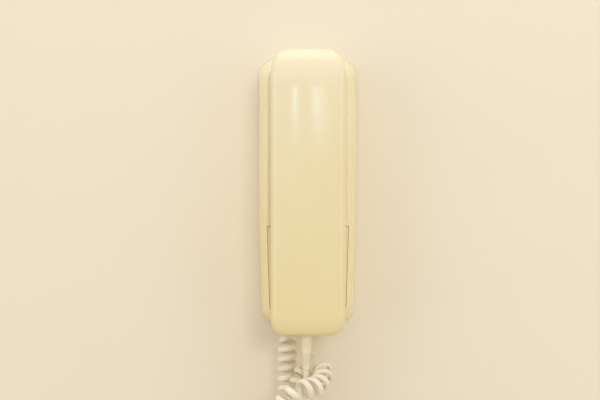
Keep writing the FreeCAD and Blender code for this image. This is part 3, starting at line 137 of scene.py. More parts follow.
floor_mesh = bmesh.new()
bmesh.ops.create_grid(floor_mesh, x_segments=1, y_segments=1, size=WALL_REACH)
bmesh.ops.translate(floor_mesh, verts=floor_mesh.verts, vec=(0, WALL_GAP - WALL_REACH, FLOOR_LEVEL))
floor = backdrop("floor", floor_mesh)
print("a hole of", len(rim), "corners in the wall, and the floor", -FLOOR_LEVEL, "m below")

# %% [markdown]
# ## Light
# A bedroom's ceiling lamp is a broad soft panel overhead, and it makes the handset's top edge bright. Two more panels
# at the sides light the front and the flanks evenly. A small key panel in front gives the cord's turns their shadows,
# and isn't itself mirrored in the plastic. Small bluish window panes give the soft reflections below the brow. The
# world fills the shadows with a pale, slightly warm light.

# %% Lamps and world
LAMP_WHITE = (1.0, 0.98, 0.945)
CEILING_WHITE = (0.87, 0.92, 1.0)
WINDOW_BLUE = (0.38, 0.72, 1.0)
FAR_WINDOW_BLUE = (0.5, 0.8, 1.0)
FRONT = (0, 0, 0)
UPPER_FRONT = (0, 0, 0.05)


def panel(name, place, aim, width, height, power, tone=LAMP_WHITE, mirrored=True):
    """A soft rectangular lamp, aimed at a point."""
    data = bpy.data.lights.new(name, "AREA")
    data.shape = "RECTANGLE"
    data.size = width
    data.size_y = height
    data.energy = power
    data.color = tone
    lamp = bpy.data.objects.new(name, data)
    lamp.location = place
    lamp.rotation_euler = (Vector(aim) - Vector(place)).to_track_quat("-Z", "Y").to_euler()
    lamp.visible_glossy = mirrored
    bpy.context.scene.collection.objects.link(lamp)


panel("ceiling", (0.02, -0.4, 1.35), (0, -0.04, 0.05), 1.5, 0.7, 7.5, CEILING_WHITE)
panel("key", (0.4, -1.3, 0.36), FRONT, 0.35, 0.35, 3.4, mirrored=False)
panel("side_right", (1.4, -0.9, 0.2), FRONT, 1.1, 1.3, 3.5)
panel("side_left", (-1.4, -0.9, 0.15), FRONT, 1.1, 1.3, 5.6)
panel("pane_left", (-0.265, -1.5, 0.23), UPPER_FRONT, 0.085, 0.05, 0.24, WINDOW_BLUE)
panel("pane_right", (0.178, -1.5, 0.23), UPPER_FRONT, 0.155, 0.05, 0.38, WINDOW_BLUE)
panel("pane_far", (0.35, -1.5, 0.2), UPPER_FRONT, 0.16, 0.05, 0.15, FAR_WINDOW_BLUE)

WORLD_COLOUR = (1.0, 0.985, 0.955, 1.0)
WORLD_STRENGTH = 0.62
world = bpy.data.worlds.new("room")
bpy.context.scene.world = world
world.use_nodes = True
background = world.node_tree.nodes["Background"].inputs
background["Color"].default_value = WORLD_COLOUR
background["Strength"].default_value = WORLD_STRENGTH
bpy.context.scene.view_settings.view_transform = "Standard"
print(len(bpy.data.lights), "lamps and a pale world of strength", WORLD_STRENGTH)

# %% [markdown]
# ## Helpers for meshes
# A new piece gets a clean mesh, a parent body and the name of the material slot that it takes its finish from. The
# piece's object stays at the origin, so a pattern in Object coordinates is the same size on every piece.

# %% Mesh helpers
new_pieces = []


def piece_from(name, bm, body, slot, finish=None):
    """Turns a bmesh into a piece that rides on a body, or on none. Its finish has its slot's name by default."""
    mesh = bpy.data.meshes.new(name)
    bm.to_mesh(mesh)
    bm.free()
    piece = bpy.data.objects.new(name, mesh)
    bpy.context.scene.collection.objects.link(piece)
    if body:
        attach(piece, body)
    new_pieces.append((piece, finish or slot))
    return piece


def shade_smooth(bm, sharp_degrees):
    """Smooth shading, apart from edges that turn by more than an angle."""
    for face in bm.faces:
        face.smooth = True
    limit = math.radians(sharp_degrees)
    for edge in bm.edges:
        edge.smooth = len(edge.link_faces) == 2 and edge.calc_face_angle(0) < limit


def slot_of(node):
    return next(s["material_slot"] for s in frame["record"]["subparts"] if s["node"] == node)


def body_of(node):
    return next(b for b, members in frame["record"]["behaviour"]["bodies"].items() if node in members)


# %% [markdown]
# ## Softened edges
# A moulded edge is never sharp: the tool's corners are rounded by a few tenths of a millimetre, and that thin round
# catches the light. The CAD solids are copied, their loose triangles are welded and the flat faces joined again, and
# a Bevel modifier rounds the edges. The normals that came with the loose triangles no longer fit the joined faces, so
# they are taken off the copy first. A copy is used because the CAD mesh itself has to stay as it is. The inner
# shell's face has so many holes that it can't be one face with six hundred corners, so its triangles are kept.

# %% Softened copies of the CAD solids
WELD = 0.002 * MM
FLAT = math.radians(0.5)
SHARP = 28.0
ROUND_SEGMENTS = 2
PIERCED = ("handset_inner_shell",)


def softened(node, width):
    """A copy of a CAD solid with its edges rounded, which stands for it."""
    loose = nodes[node].data.copy()
    if "custom_normal" in loose.attributes:
        loose.attributes.remove(loose.attributes["custom_normal"])
    bm = bmesh.new()
    bm.from_mesh(loose)
    bpy.data.meshes.remove(loose)
    bmesh.ops.remove_doubles(bm, verts=bm.verts, dist=WELD)
    if node not in PIERCED:
        bmesh.ops.dissolve_limit(bm, angle_limit=FLAT, verts=bm.verts, edges=bm.edges)
    shade_smooth(bm, SHARP)
    piece = piece_from(f"{node}_soft", bm, body_of(node), slot_of(node))
    round_edges = piece.modifiers.new("round_edges", "BEVEL")
    round_edges.width = width
    round_edges.segments = ROUND_SEGMENTS
    round_edges.limit_method = "ANGLE"
    round_edges.angle_limit = math.radians(SHARP)
    round_edges.harden_normals = True
    round_edges.miter_outer = "MITER_ARC"
    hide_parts(node)
    return piece


EDGE_ROUNDS = {
    "base_housing": 0.3,
    "lower_cover": 0.25,
    "handset_inner_shell": 0.25,
    "back_plate": 0.25,
    "wall_bracket": 0.15,
    "ringer_switch_knob": 0.3,
    "cord_jack": 0.2,
    "hook_plunger": 0.3,
    "cord_plug": 0.2,
    "terminal_block": 0.15,
    "ballast_weight": 0.3,
}
KEYS = [*"123456789", "star", "0", "hash"]
EDGE_ROUNDS.update({f"key_{name}": 0.12 for name in KEYS})
soft_copies = {node: softened(node, width * MM) for node, width in EDGE_ROUNDS.items()}
print("softened", len(soft_copies), "solids")

# %% [markdown]
# ## Numbers on the keys
# The keys are in the handset's back, so they face the wall while it hangs. Each number was printed in thick dark ink.
# A text object is the easy way to a number's outline. It is made a mesh while it still lies flat at the origin, and
# then its points are moved on to the key, because the object itself has to stay untransformed.

# %% Numbers
NUMBER_HEIGHT = 4.6 * MM
INK = 0.03 * MM
NUMBER_CURVE_STEPS = 4
NUMBER_WELD = 0.001 * MM
SIGNS = {"star": "*", "hash": "#"}
ON_A_KEY = Matrix(((-1, 0, 0), (0, 0, 1), (0, 1, 0)))


def number_on(name):
    """The number or sign of a key, lying on the key's face."""
    text = bpy.data.curves.new(f"number_{name}", "FONT")
    text.body = SIGNS.get(name, name)
    text.size = NUMBER_HEIGHT
    text.extrude = INK
    text.resolution_u = NUMBER_CURVE_STEPS
    flat = bpy.data.objects.new(f"flat_{name}", text)
    bpy.context.scene.collection.objects.link(flat)
    bpy.context.view_layer.update()
    mesh = bpy.data.meshes.new_from_object(flat)
    bpy.data.objects.remove(flat)
    bm = bmesh.new()
    bm.from_mesh(mesh)
    bpy.data.meshes.remove(mesh)
    bmesh.ops.remove_doubles(bm, verts=bm.verts, dist=NUMBER_WELD)
    bmesh.ops.recalc_face_normals(bm, faces=bm.faces)
    low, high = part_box(f"key_{name}")
    middle = [(min(v.co[k] for v in bm.verts) + max(v.co[k] for v in bm.verts)) / 2 for k in (0, 1)]
    bmesh.ops.translate(bm, verts=bm.verts, vec=(-middle[0], -middle[1], 0))
    bmesh.ops.rotate(bm, verts=bm.verts, matrix=ON_A_KEY)
    bmesh.ops.translate(bm, verts=bm.verts, vec=((low.x + high.x) / 2, high.y, (low.z + high.z) / 2))
    return piece_from(f"number_{name}", bm, f"key_{name}", "switch_plastic")


numbers = [number_on(name) for name in KEYS]
print(len(numbers), "numbers on the keys")

# %% [markdown]
# ## The handset's outer shell
# The shell is one smooth, slightly crowned form. Its front bulges across the width, curves back over the brow and a
# little at the chin, and a round of 5 mm joins it to the sides. The CAD solid has these faces, but its facets would
# show in a glossy reflection, so the shell is made again here. A grid is the right start, because its rows can be
# packed close where the round is tight. Its corners are pulled round, as a square is turned into a disc. Then each
# vertex goes back by the depth of the crown, and a ball that rolls along the sides gives the depth of the round.

# %% Depth of the shell's front
shell_low, shell_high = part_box("handset_outer_shell")
HALF_WIDTH = shell_high.x
SHOULDER = 13.0 * MM
HEEL = 9.5 * MM
EDGE = 5.0 * MM
NEAR = 0.05 * MM


def arc_radius(run, depth):
    """The radius of an arc that starts flat and falls by a depth over a run."""
    return (run**2 + depth**2) / (2 * depth)


CROWN_RADIUS = arc_radius(26.45 * MM, 3.6 * MM)
BROW_RUN, CHIN_RUN = 24.6 * MM, 10.6 * MM
BROW_RADIUS = arc_radius(BROW_RUN, 8.5 * MM)
CHIN_RADIUS = arc_radius(CHIN_RUN, 2.3 * MM)


def arc_depth(radius, run):
    return radius - math.sqrt(radius**2 - run**2)


def crowned(x, z):
    """How far the front lies behind its foremost line."""
    over = max(z - (shell_high.z - BROW_RUN), 0.0)
    under = max((shell_low.z + CHIN_RUN) - z, 0.0)
    return arc_depth(CROWN_RADIUS, x) + arc_depth(BROW_RADIUS, over) + arc_depth(CHIN_RADIUS, under)


def rounded(x, z, inset, out):
    """The front's depth with its edge rounded, at an inset from the outline whose outward direction is given."""
    edge_x, edge_z = x + out[0] * inset, z + out[1] * inset
    slope = (crowned(edge_x, edge_z) - crowned(edge_x - out[0] * NEAR, edge_z - out[1] * NEAR)) / NEAR
    lean = math.atan(max(slope, 0.0))
    touch = EDGE * (1 - math.sin(lean))
    if inset >= touch:
        return crowned(x, z)
    touch_depth = crowned(edge_x - out[0] * touch, edge_z - out[1] * touch)
    centre = touch_depth + EDGE * math.cos(lean)
    return centre - math.sqrt(max(EDGE**2 - (EDGE - inset) ** 2, 0.0))


print("shell", [round(v / MM, 1) for v in shell_high - shell_low], "mm")

# %% Handset shell
EDGE_ROWS = [0, 0.06, 0.24, 0.55, 1.0, 1.55, 2.2, 3.0, 4.0, 5.2]
ROW_STEP = 1.6
SHELL_WALL = 2.2 * MM


def lines_at(bm, axis, places):
    """Moves the rows of a grid's vertices to the places given, in order."""
    rows = sorted({round(v.co[axis], 4) for v in bm.verts})
    for vertex in bm.verts:
        vertex.co[axis] = places[rows.index(round(vertex.co[axis], 4))]


def rows_between(low, high, step):
    """Places for the rows of a grid, packed close at both ends."""
    width = (high - low) / MM
    inner = width - 2 * EDGE_ROWS[-1]
    count = math.ceil(inner / step)
    offsets = EDGE_ROWS[:-1] + [EDGE_ROWS[-1] + inner * k / count for k in range(count + 1)]
    return [low + d * MM for d in offsets] + [low + (width - d) * MM for d in reversed(EDGE_ROWS[:-1])]


def outline_place(x, z):
    """Where a corner of the flat grid goes, its inset from the outline and the outline's outward direction."""
    corner = SHOULDER if z > 0 else HEEL
    end = shell_high.z if z > 0 else -shell_low.z
    a, b = abs(x) - (HALF_WIDTH - corner), abs(z) - (end - corner)
    side, up = math.copysign(1, x), math.copysign(1, z)
    if a > 0 and b > 0:
        reach = max(a, b)
        angle = math.pi / 4 * min(a, b) / reach
        angle = angle if a >= b else math.pi / 2 - angle
        out = (side * math.cos(angle), up * math.sin(angle))
        centre = (side * (HALF_WIDTH - corner), up * (end - corner))
        return centre[0] + out[0] * reach, centre[1] + out[1] * reach, corner - reach, out
    if a > b:
        return x, z, HALF_WIDTH - abs(x), (side, 0.0)
    return x, z, end - abs(z), (0.0, up)


columns = rows_between(-HALF_WIDTH, HALF_WIDTH, ROW_STEP)
levels = rows_between(shell_low.z, shell_high.z, 2 * ROW_STEP)
bm = bmesh.new()
bmesh.ops.create_grid(bm, x_segments=len(columns) - 1, y_segments=len(levels) - 1, size=1.0)
bmesh.ops.rotate(bm, verts=bm.verts, matrix=Matrix.Rotation(math.radians(90), 3, "X"))
lines_at(bm, 0, columns)
lines_at(bm, 2, levels)
for vertex in bm.verts:
    x, z, inset, out = outline_place(vertex.co.x, vertex.co.z)
    vertex.co = (x, shell_low.y + rounded(x, z, inset, out), z)
for vertex in extruded(bm, [edge for edge in bm.edges if edge.is_boundary]):
    vertex.co.y = shell_high.y
bmesh.ops.recalc_face_normals(bm, faces=bm.faces)
bmesh.ops.solidify(bm, geom=bm.faces, thickness=SHELL_WALL)
bmesh.ops.recalc_face_normals(bm, faces=bm.faces)
shade_smooth(bm, sharp_degrees=40)
print("handset shell", len(bm.faces), "faces")
handset_shell = piece_from("handset_shell", bm, "handset", "handset_plastic")
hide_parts("handset_outer_shell")

# %% [markdown]
# ## The curly cord
# The cord leaves the handset's strain relief, hangs in loose turns and goes back up to the base's socket. Its middle
# line is a smooth NURBS curve. The cord itself is wound round that line: a helix that starts straight, swells into
# full turns and spreads where the line bends, so that the turns never run into each other. The wire is flat, with
# four conductors side by side, so its section is an oval and not a circle.

# %% Route of the cord
ROUTE = [
    (-1, 41, -119), (-1, 41, -127), (-1, 41, -137), (-1, 41, -147), (1.5, 42.5, -155.5), (0.8, 40.8, -164.5),
    (-4, 35.5, -168.8), (-9.5, 30.5, -165.5), (-11, 28.5, -154.5), (-9.3, 28.5, -140), (-5.5, 28, -127.5),
    (-1, 27.5, -120), (5, 28.7, -117.4), (9.8, 34.5, -119), (10.2, 43, -123.5), (5, 51.5, -127.5),
    (-2, 57, -127.8), (-9, 58.5, -129), (-15.5, 57.3, -136), (-19, 53.5, -147.5), (-18.5, 50, -162),
    (-17, 45, -185), (-16, 41, -208), (-16, 41, -226), (-16, 40, -240), (-15.5, 28, -248), (-14.5, 15, -240),
    (-14, 14, -225), (-14, 14, -200), (-14, 14, -150), (-14, 14, -122), (-14, 14, -104), (-14, 14, -91.5),
]
GUIDE_STEPS = 24
STEP = 0.1 * MM


def smooth_line(name, points):
    """Points along the NURBS curve that some control points pull, read from Blender's own curve."""
    curve = bpy.data.curves.new(name, "CURVE")
    curve.dimensions = "3D"
    curve.resolution_u = GUIDE_STEPS
    spline = curve.splines.new("NURBS")
    spline.points.add(len(points) - 1)
    for control, place in zip(spline.points, points):
        control.co = (*place, 1.0)
    spline.order_u = 3
    spline.use_endpoint_u = True
    guide = bpy.data.objects.new(name, curve)
    bpy.context.scene.collection.objects.link(guide)
    bpy.context.view_layer.update()
    mesh = bpy.data.meshes.new_from_object(guide)
    line = [v.co.copy() for v in mesh.vertices]
    bpy.data.objects.remove(guide)
    bpy.data.curves.remove(curve)
    bpy.data.meshes.remove(mesh)
    return line


def evenly(line, step):
    """Places a step apart along a line."""
    run = [0.0]
    for one, following in zip(line, line[1:]):
        run.append(run[-1] + (following - one).length)
    count = math.ceil(run[-1] / step)
    places, i = [], 0
    for k in range(count + 1):
        wanted = run[-1] * k / count
        while i < len(run) - 2 and run[i + 1] < wanted:
            i += 1
        share = (wanted - run[i]) / max(run[i + 1] - run[i], 1e-9)
        places.append(line[i].lerp(line[i + 1], min(share, 1.0)))
    return places


route = [Vector((x, -depth, level)) * MM for x, depth, level in ROUTE]
middle_line = evenly(smooth_line("cord_guide", route), STEP)
middle_length = STEP * (len(middle_line) - 1)
print("the cord's middle line is", round(middle_length / MM), "mm long")

# %% [markdown]
# ## The turns
# The helix is walked in small steps along the middle line. On the inside of a bend the turns would crowd, so the
# pitch grows where the line bends. The lead that leaves the sleeve is straight, and its flat side turns a quarter on
# the way to the first turn.

# %% Turns of the cord
COIL_RADIUS = 5.3 * MM
COIL_PITCH = 6.6 * MM
INSIDE_PITCH = 4.6 * MM
DROP = 16.0 * MM
SOCKET_RUN = 3.6 * MM
RAMP = 12.0 * MM
BEND_REACH = 30


def eased(x):
    x = min(max(x, 0.0), 1.0)
    return x * x * (3 - 2 * x)


def bends_of(line, reach):
    """One over the radius of the bend at each place, evened out over a reach each way."""
    bends = []
    for i in range(len(line)):
        before, here, after = line[max(i - reach, 0)], line[i], line[min(i + reach, len(line) - 1)]
        turn = (here - before).angle(after - here, 0.0) if 0 < i < len(line) - 1 else 0.0
        bends.append(turn / (reach * STEP))
    return bends


def wound(line):
    """The cord's own line, and the direction that its flat side faces, at each place."""
    bends = bends_of(line, BEND_REACH)
    across = Vector((1, 0, 0))
    angle = 0.0
    cord_line, faces = [], []
    for i, place in enumerate(line):
        along = (line[min(i + 1, len(line) - 1)] - line[max(i - 1, 0)]).normalized()
        across = (across - along * across.dot(along)).normalized()
        from_end = min(STEP * i - DROP, STEP * (len(line) - 1 - i) - SOCKET_RUN)
        out = eased(from_end / RAMP)
        pitch = max(COIL_PITCH, INSIDE_PITCH / (1 - COIL_RADIUS * bends[i])) * (2 - out)
        if from_end > 0:
            angle += 2 * math.pi * STEP / pitch
        ray = across * math.cos(angle) + along.cross(across) * math.sin(angle)
        cord_line.append(place + ray * COIL_RADIUS * out)
        turned = math.pi / 2 * (1 - eased(STEP * i / DROP))
        faces.append(ray * math.cos(turned) + along.cross(ray) * math.sin(turned))
    return cord_line, faces, angle / (2 * math.pi)


cord_line, cord_faces, turns = wound(middle_line)
cord_length = sum((b - a).length for a, b in zip(cord_line, cord_line[1:]))
print("the cord has", round(turns, 1), "turns in", round(cord_length, 3), "m")

# %% [markdown]
# ## The strain relief
# A soft sleeve keeps the cord from kinking where it leaves the handset. It tapers, and rings cut into its lower part
# let it bend. It is a turned shape, so half of its outline is drawn once and spun round the cord's own line. The
# flange at the top is caught behind the handset's wall.

# %% Strain relief
sleeve_low, sleeve_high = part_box("strain_relief")
SLEEVE_TOP, SLEEVE_LENGTH = 4.0, 24.0
SLEEVE_RADIUS, TAPER, TAPER_CURVE = 3.55, 1.35, 1.3
FLANGE_RADIUS, FLANGE_FOOT, NECK_RADIUS = 5.0, 2.2, 3.3
RINGS = (-13.4, -15.2, -17.0, -18.8)
RING_WIDTH, RING_DEPTH, FOOT_ROUND = 0.8, 0.45, 0.4
SLEEVE_SIDES = 40


def sleeve_radius(level):
    """The taper of the sleeve, in millimetres, at a level under the handset's foot."""
    return SLEEVE_RADIUS - TAPER * min(-level / SLEEVE_LENGTH, 1.0) ** TAPER_CURVE


def taper_at(*levels):
    return [(sleeve_radius(level), level) for level in levels]


half_section = [(0, SLEEVE_TOP), (FLANGE_RADIUS, SLEEVE_TOP), (FLANGE_RADIUS, FLANGE_FOOT)]
half_section += [(NECK_RADIUS, FLANGE_FOOT), (NECK_RADIUS, 0)] + taper_at(0, -3, -6, -9, -12)
for ring in RINGS:
    top, foot = ring + RING_WIDTH / 2, ring - RING_WIDTH / 2
    half_section += taper_at(top) + [(sleeve_radius(top) - RING_DEPTH, top)]
    half_section += [(sleeve_radius(foot) - RING_DEPTH, foot)] + taper_at(foot)
half_section += taper_at(-21.5, -23.6)
half_section += [(sleeve_radius(-SLEEVE_LENGTH) - FOOT_ROUND, -SLEEVE_LENGTH), (0, -SLEEVE_LENGTH)]
sleeve_place = Vector(((sleeve_low.x + sleeve_high.x) / 2, (sleeve_low.y + sleeve_high.y) / 2, 0))
sleeve_place.z = sleeve_high.z - SLEEVE_TOP * MM
bm = bmesh.new()
drawn = [bm.verts.new((radius * MM, 0, level * MM)) for radius, level in half_section]
edges = [bm.edges.new(pair) for pair in zip(drawn, drawn[1:])]
bmesh.ops.spin(
    bm, geom=drawn + edges, cent=(0, 0, 0), axis=(0, 0, 1), angle=2 * math.pi, steps=SLEEVE_SIDES, use_merge=True,
)
bmesh.ops.remove_doubles(bm, verts=bm.verts, dist=WELD)
bmesh.ops.recalc_face_normals(bm, faces=bm.faces)
bmesh.ops.translate(bm, verts=bm.verts, vec=sleeve_place)
shade_smooth(bm, sharp_degrees=35)
sleeve = piece_from("strain_relief_ringed", bm, "handset", slot_of("strain_relief"), "sleeve_vinyl")
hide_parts("strain_relief")
print("strain relief", round((sleeve_high.z - sleeve_low.z) / MM, 1), "mm long, with", len(RINGS), "rings")

# %% [markdown]
# ## A tube along a line
# A swept section gives more control than a curve's bevel, because the oval has to keep its flat side towards the
# coil's middle. Rings are placed along the line and joined by faces, and the last rings are closed. The UV map runs
# round the section in U and along the cord in V, in metres, so a pattern can follow the cord.

# %% Tube
EVERY = 3


def tube(name, line, faces, chosen, half_width, half_thickness, sides, body, slot):
    """An oval tube through the chosen places of a line, with its flat side facing a given way at each place."""
    bm = bmesh.new()
    uv = bm.loops.layers.uv.new("cord_uv")
    rings, run = [], [STEP * chosen[0]]
    for k, i in enumerate(chosen):
        along = (line[min(i + EVERY, len(line) - 1)] - line[max(i - EVERY, 0)]).normalized()
        out = (faces[i] - along * faces[i].dot(along)).normalized()
        wide = along.cross(out)
        ring = []
        for s in range(sides):
            a = 2 * math.pi * s / sides
            ring.append(bm.verts.new(line[i] + wide * half_width * math.cos(a) + out * half_thickness * math.sin(a)))
        if k:
            run.append(run[-1] + (line[i] - line[chosen[k - 1]]).length)
        rings.append(ring)
    for k in range(len(rings) - 1):
        for s in range(sides):
            t = (s + 1) % sides
            face = bm.faces.new((rings[k][s], rings[k][t], rings[k + 1][t], rings[k + 1][s]))
            corners = ((s, k), (s + 1, k), (s + 1, k + 1), (s, k + 1))
            for loop, (u, v) in zip(face.loops, corners):
                loop[uv].uv = (u / sides, run[v])
    bm.faces.new(rings[0])
    bm.faces.new(list(reversed(rings[-1])))
    bmesh.ops.recalc_face_normals(bm, faces=bm.faces)
    shade_smooth(bm, sharp_degrees=60)
    return piece_from(name, bm, body, slot)


# %% [markdown]
# ## Two lengths of one cord
# When the handset comes off, the cord has to stretch. The length that hangs from the base stays where it is. The other
# length is put on no body, and its place is baked into its mesh. So the cord is made as two tubes that meet at its
# lowest turn, with the same ring of vertices at the end of one and the start of the other.

# %% Cord pieces
CORD_HALF_WIDTH = 2.05 * MM
CORD_HALF_THICKNESS = 1.45 * MM
CORD_SIDES = 14

last = len(cord_line) - 1
lowest = min(range(len(middle_line)), key=lambda i: middle_line[i].z)
seam = EVERY * round(lowest / EVERY)
oval = CORD_HALF_WIDTH, CORD_HALF_THICKNESS, CORD_SIDES


def cord_piece(name, chosen, body):
    """One length of the curly cord, a tube through the chosen places of the cord's line."""
    piece = tube(name, cord_line, cord_faces, chosen, *oval, body, "cord_vinyl")
    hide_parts("curly_cord")
    return piece


handset_cord = cord_piece("curly_cord_wound", list(range(0, seam + 1, EVERY)), None)
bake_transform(handset_cord)
base_rings = list(range(seam, last, EVERY)) + [last]
cord_piece("curly_cord_hanging", base_rings, "base")

# %% [markdown]
# ## A kit for finishes
# A finish is a small tree of nodes. Two helpers keep each tree short: one adds a node and sets or links its sockets,
# and one makes a shader node group, which is an effect that several finishes share with different values. All
# patterns read Object coordinates in metres, so a scale of 100 gives a pattern of about one centimetre everywhere.

# %% Node helpers
def add(tree, kind, sockets=None, **settings):
    """Adds a node. A value in sockets is set, and a socket in sockets is linked."""
    node = tree.nodes.new(kind)
    for name, value in settings.items():
        setattr(node, name, value)
    for name, value in (sockets or {}).items():
        socket = node.inputs[name]
        if isinstance(value, bpy.types.NodeSocket):
            tree.links.new(value, socket)
        else:
            socket.default_value = value
    return node


def effect(name, inputs, outputs):
    """An empty node group with named sockets, and its input and output nodes."""
    group = bpy.data.node_groups.new(name, "ShaderNodeTree")
    for side, sockets in (("INPUT", inputs), ("OUTPUT", outputs)):
        for label, value in sockets.items():
            kind = "NodeSocketColor" if isinstance(value, tuple) else "NodeSocketFloat"
            socket = group.interface.new_socket(label, in_out=side, socket_type=kind)
            socket.default_value = value
    return group, add(group, "NodeGroupInput").outputs, add(group, "NodeGroupOutput").inputs


def colour(red, green, blue):
    """A colour given as it looks on a screen, from 0 to 255, turned into the light values that a shader takes."""
    parts = [c / 255 for c in (red, green, blue)]
    return tuple(c / 12.92 if c <= 0.04045 else ((c + 0.055) / 1.055) ** 2.4 for c in parts) + (1.0,)


def noise(tree, vector, scale, detail=3.0, rough=0.55):
    return add(
        tree, "ShaderNodeTexNoise", {"Vector": vector, "Scale": scale, "Detail": detail, "Roughness": rough}
    ).outputs["Fac"]


def spread(tree, value, low, high, to_low=0.0, to_high=1.0):
    """Stretches a range of values to another one, and clamps it."""
    limits = {"From Min": low, "From Max": high, "To Min": to_low, "To Max": to_high}
    return add(tree, "ShaderNodeMapRange", {"Value": value, **limits}).outputs["Result"]


def sums(tree, operation, one, other):
    return add(tree, "ShaderNodeMath", {0: one, 1: other}, operation=operation).outputs[0]


def mixed(tree, factor, one, other, blend="MIX"):
    """One colour turned into another by a factor."""
    return add(
        tree, "ShaderNodeMix", {0: factor, 6: one, 7: other}, data_type="RGBA", blend_type=blend
    ).outputs[2]


def place_of(tree):
    return add(tree, "ShaderNodeTexCoord").outputs["Object"]


def facing_of(tree):
    """The way a face looks, as three outputs."""
    normal = add(tree, "ShaderNodeNewGeometry").outputs["Normal"]
    return add(tree, "ShaderNodeSeparateXYZ", {"Vector": normal}).outputs


def stretched(tree, vector, scale, turn=(0, 0, 0)):
    return add(tree, "ShaderNodeMapping", {"Vector": vector, "Scale": scale, "Rotation": turn}).outputs["Vector"]


# %% [markdown]
# ## Aged plastic and painted top light
# The shells are ABS, which turns yellow in light and air, unevenly. The group mixes a clean and an aged colour by broad
# noise, and by height as painted light: paler towards the top, where the ceiling lamp's light falls, and yellower
# towards the foot. It adds a fine mottle and a few specks, lets dust settle on faces that look up, and smears the gloss
# as wiping does. Very fine noise gives the moulding's grain.

# %% Aged plastic group
aged, given, made = effect(
    "aged_plastic",
    {"Clean": (0.8, 0.7, 0.5, 1), "Aged": (0.7, 0.6, 0.4, 1), "Ageing": 0.5, "Dust": 0.2, "Gloss": 0.3, "Top Light": 0.0},
    {"Color": (1, 1, 1, 1), "Roughness": 0.3, "Height": 0.0},
)
here = place_of(aged)
level = add(aged, "ShaderNodeSeparateXYZ", {"Vector": here}).outputs["Z"]
# Painted top light: by height the colour runs from clean at the top to aged at the foot, for the ceiling lamp's light.
painted_top_light_mask = sums(aged, "MULTIPLY", spread(aged, level, 75 * MM, -70 * MM), given["Top Light"])
patchy = spread(aged, noise(aged, here, 15.0, 2.0), 0.36, 0.66)
age_and_top_light = sums(aged, "ADD", painted_top_light_mask, sums(aged, "MULTIPLY", patchy, sums(aged, "SUBTRACT", 1.0, given["Top Light"])))
aged_and_lit_tone = mixed(aged, sums(aged, "MULTIPLY", age_and_top_light, given["Ageing"]), given["Clean"], given["Aged"])
mottle = spread(aged, noise(aged, here, 260.0, 4.0, 0.6), 0.3, 0.7, 0.988, 1.006)
grey = add(aged, "ShaderNodeCombineColor", {0: mottle, 1: mottle, 2: mottle}).outputs[0]
mottled = mixed(aged, 1.0, aged_and_lit_tone, grey, "MULTIPLY")
specks = spread(aged, noise(aged, here, 900.0, 1.0, 0.4), 0.76, 0.82, 0.0, 0.3)
specked = mixed(aged, specks, mottled, colour(150, 128, 88))
up = spread(aged, facing_of(aged)["Z"], 0.35, 0.95)
settled = sums(aged, "MULTIPLY", up, spread(aged, noise(aged, here, 420.0, 5.0, 0.7), 0.35, 0.7))
dust = sums(aged, "MULTIPLY", settled, given["Dust"])
aged.links.new(mixed(aged, dust, specked, colour(214, 208, 196)), made["Color"])
wiped = noise(aged, stretched(aged, here, (1.0, 1.0, 0.3), (0, 0.35, 0)), 95.0, 4.0, 0.6)
smears = sums(aged, "ADD", given["Gloss"], spread(aged, wiped, 0.3, 0.72, -0.02, 0.04))
aged.links.new(sums(aged, "ADD", smears, sums(aged, "MULTIPLY", dust, 0.5)), made["Roughness"])
grain = noise(aged, here, 2600.0, 2.0, 0.5)
ripple = sums(aged, "MULTIPLY", noise(aged, here, 55.0, 1.0, 0.4), 1.5)
aged.links.new(sums(aged, "ADD", grain, ripple), made["Height"])
print("aged plastic:", len(aged.nodes), "nodes")

# %% [markdown]
# ## Fine scratches
# A thing that is handled gets hairline scratches, which only show as thin lines in the gloss. Three noises, each
# squeezed to long thin streaks and turned another way, give a mask of them.

# %% Scratch group
scratched, given, made = effect("fine_scratches", {"Amount": 0.5}, {"Mask": 0.0})
here = place_of(scratched)
lines = None
for turn in ((0.2, 0.5, 0.3), (1.1, 2.0, 0.8), (0.4, 1.3, 2.2)):
    streaks = noise(scratched, stretched(scratched, here, (40.0, 2600.0, 2600.0), turn), 1.0, 1.0, 0.4)
    streak = spread(scratched, streaks, 0.73, 0.78)
    lines = streak if lines is None else sums(scratched, "MAXIMUM", lines, streak)
patches = spread(scratched, noise(scratched, here, 60.0, 2.0), 0.45, 0.62)
lined_patches = sums(scratched, "MULTIPLY", lines, patches)
scratched.links.new(sums(scratched, "MULTIPLY", lined_patches, given["Amount"]), made["Mask"])
print("fine scratches:", len(scratched.nodes), "nodes")

# %% [markdown]
# ## The shells' plastics
# Handset, base and lower cover came out of three moulds, so each has its own pair of colours in the same group. The
# base's and the cover's colours are painted paler than the handset's, as painted light that lifts the shade on the
# flanks and in the strip beside the handset. The gloss and the index of refraction are the same all over, so they are
# set on the shader's own sockets.

# %% Shell plastics
finishes = {}
GLOSS_INDEX = 1.5


def finish_of(slot, metallic=0.0, index=GLOSS_INDEX):
    """A new material for a slot, with its tree and its shader."""
    made_material = bpy.data.materials.new(slot)
    made_material.use_nodes = True
    tree = made_material.node_tree
    shader = tree.nodes["Principled BSDF"]
    shader.inputs["Metallic"].default_value = metallic
    shader.inputs["IOR"].default_value = index
    finishes[slot] = made_material
    return tree, shader


def wire(tree, shader, look, rough, height, bump, distance=0.05 * MM):
    """Links a colour, a roughness and a height to a shader."""
    tree.links.new(look, shader.inputs["Base Color"])
    tree.links.new(rough, shader.inputs["Roughness"])
    bumped = add(tree, "ShaderNodeBump", {"Height": height, "Strength": bump, "Distance": distance})
    tree.links.new(bumped.outputs["Normal"], shader.inputs["Normal"])


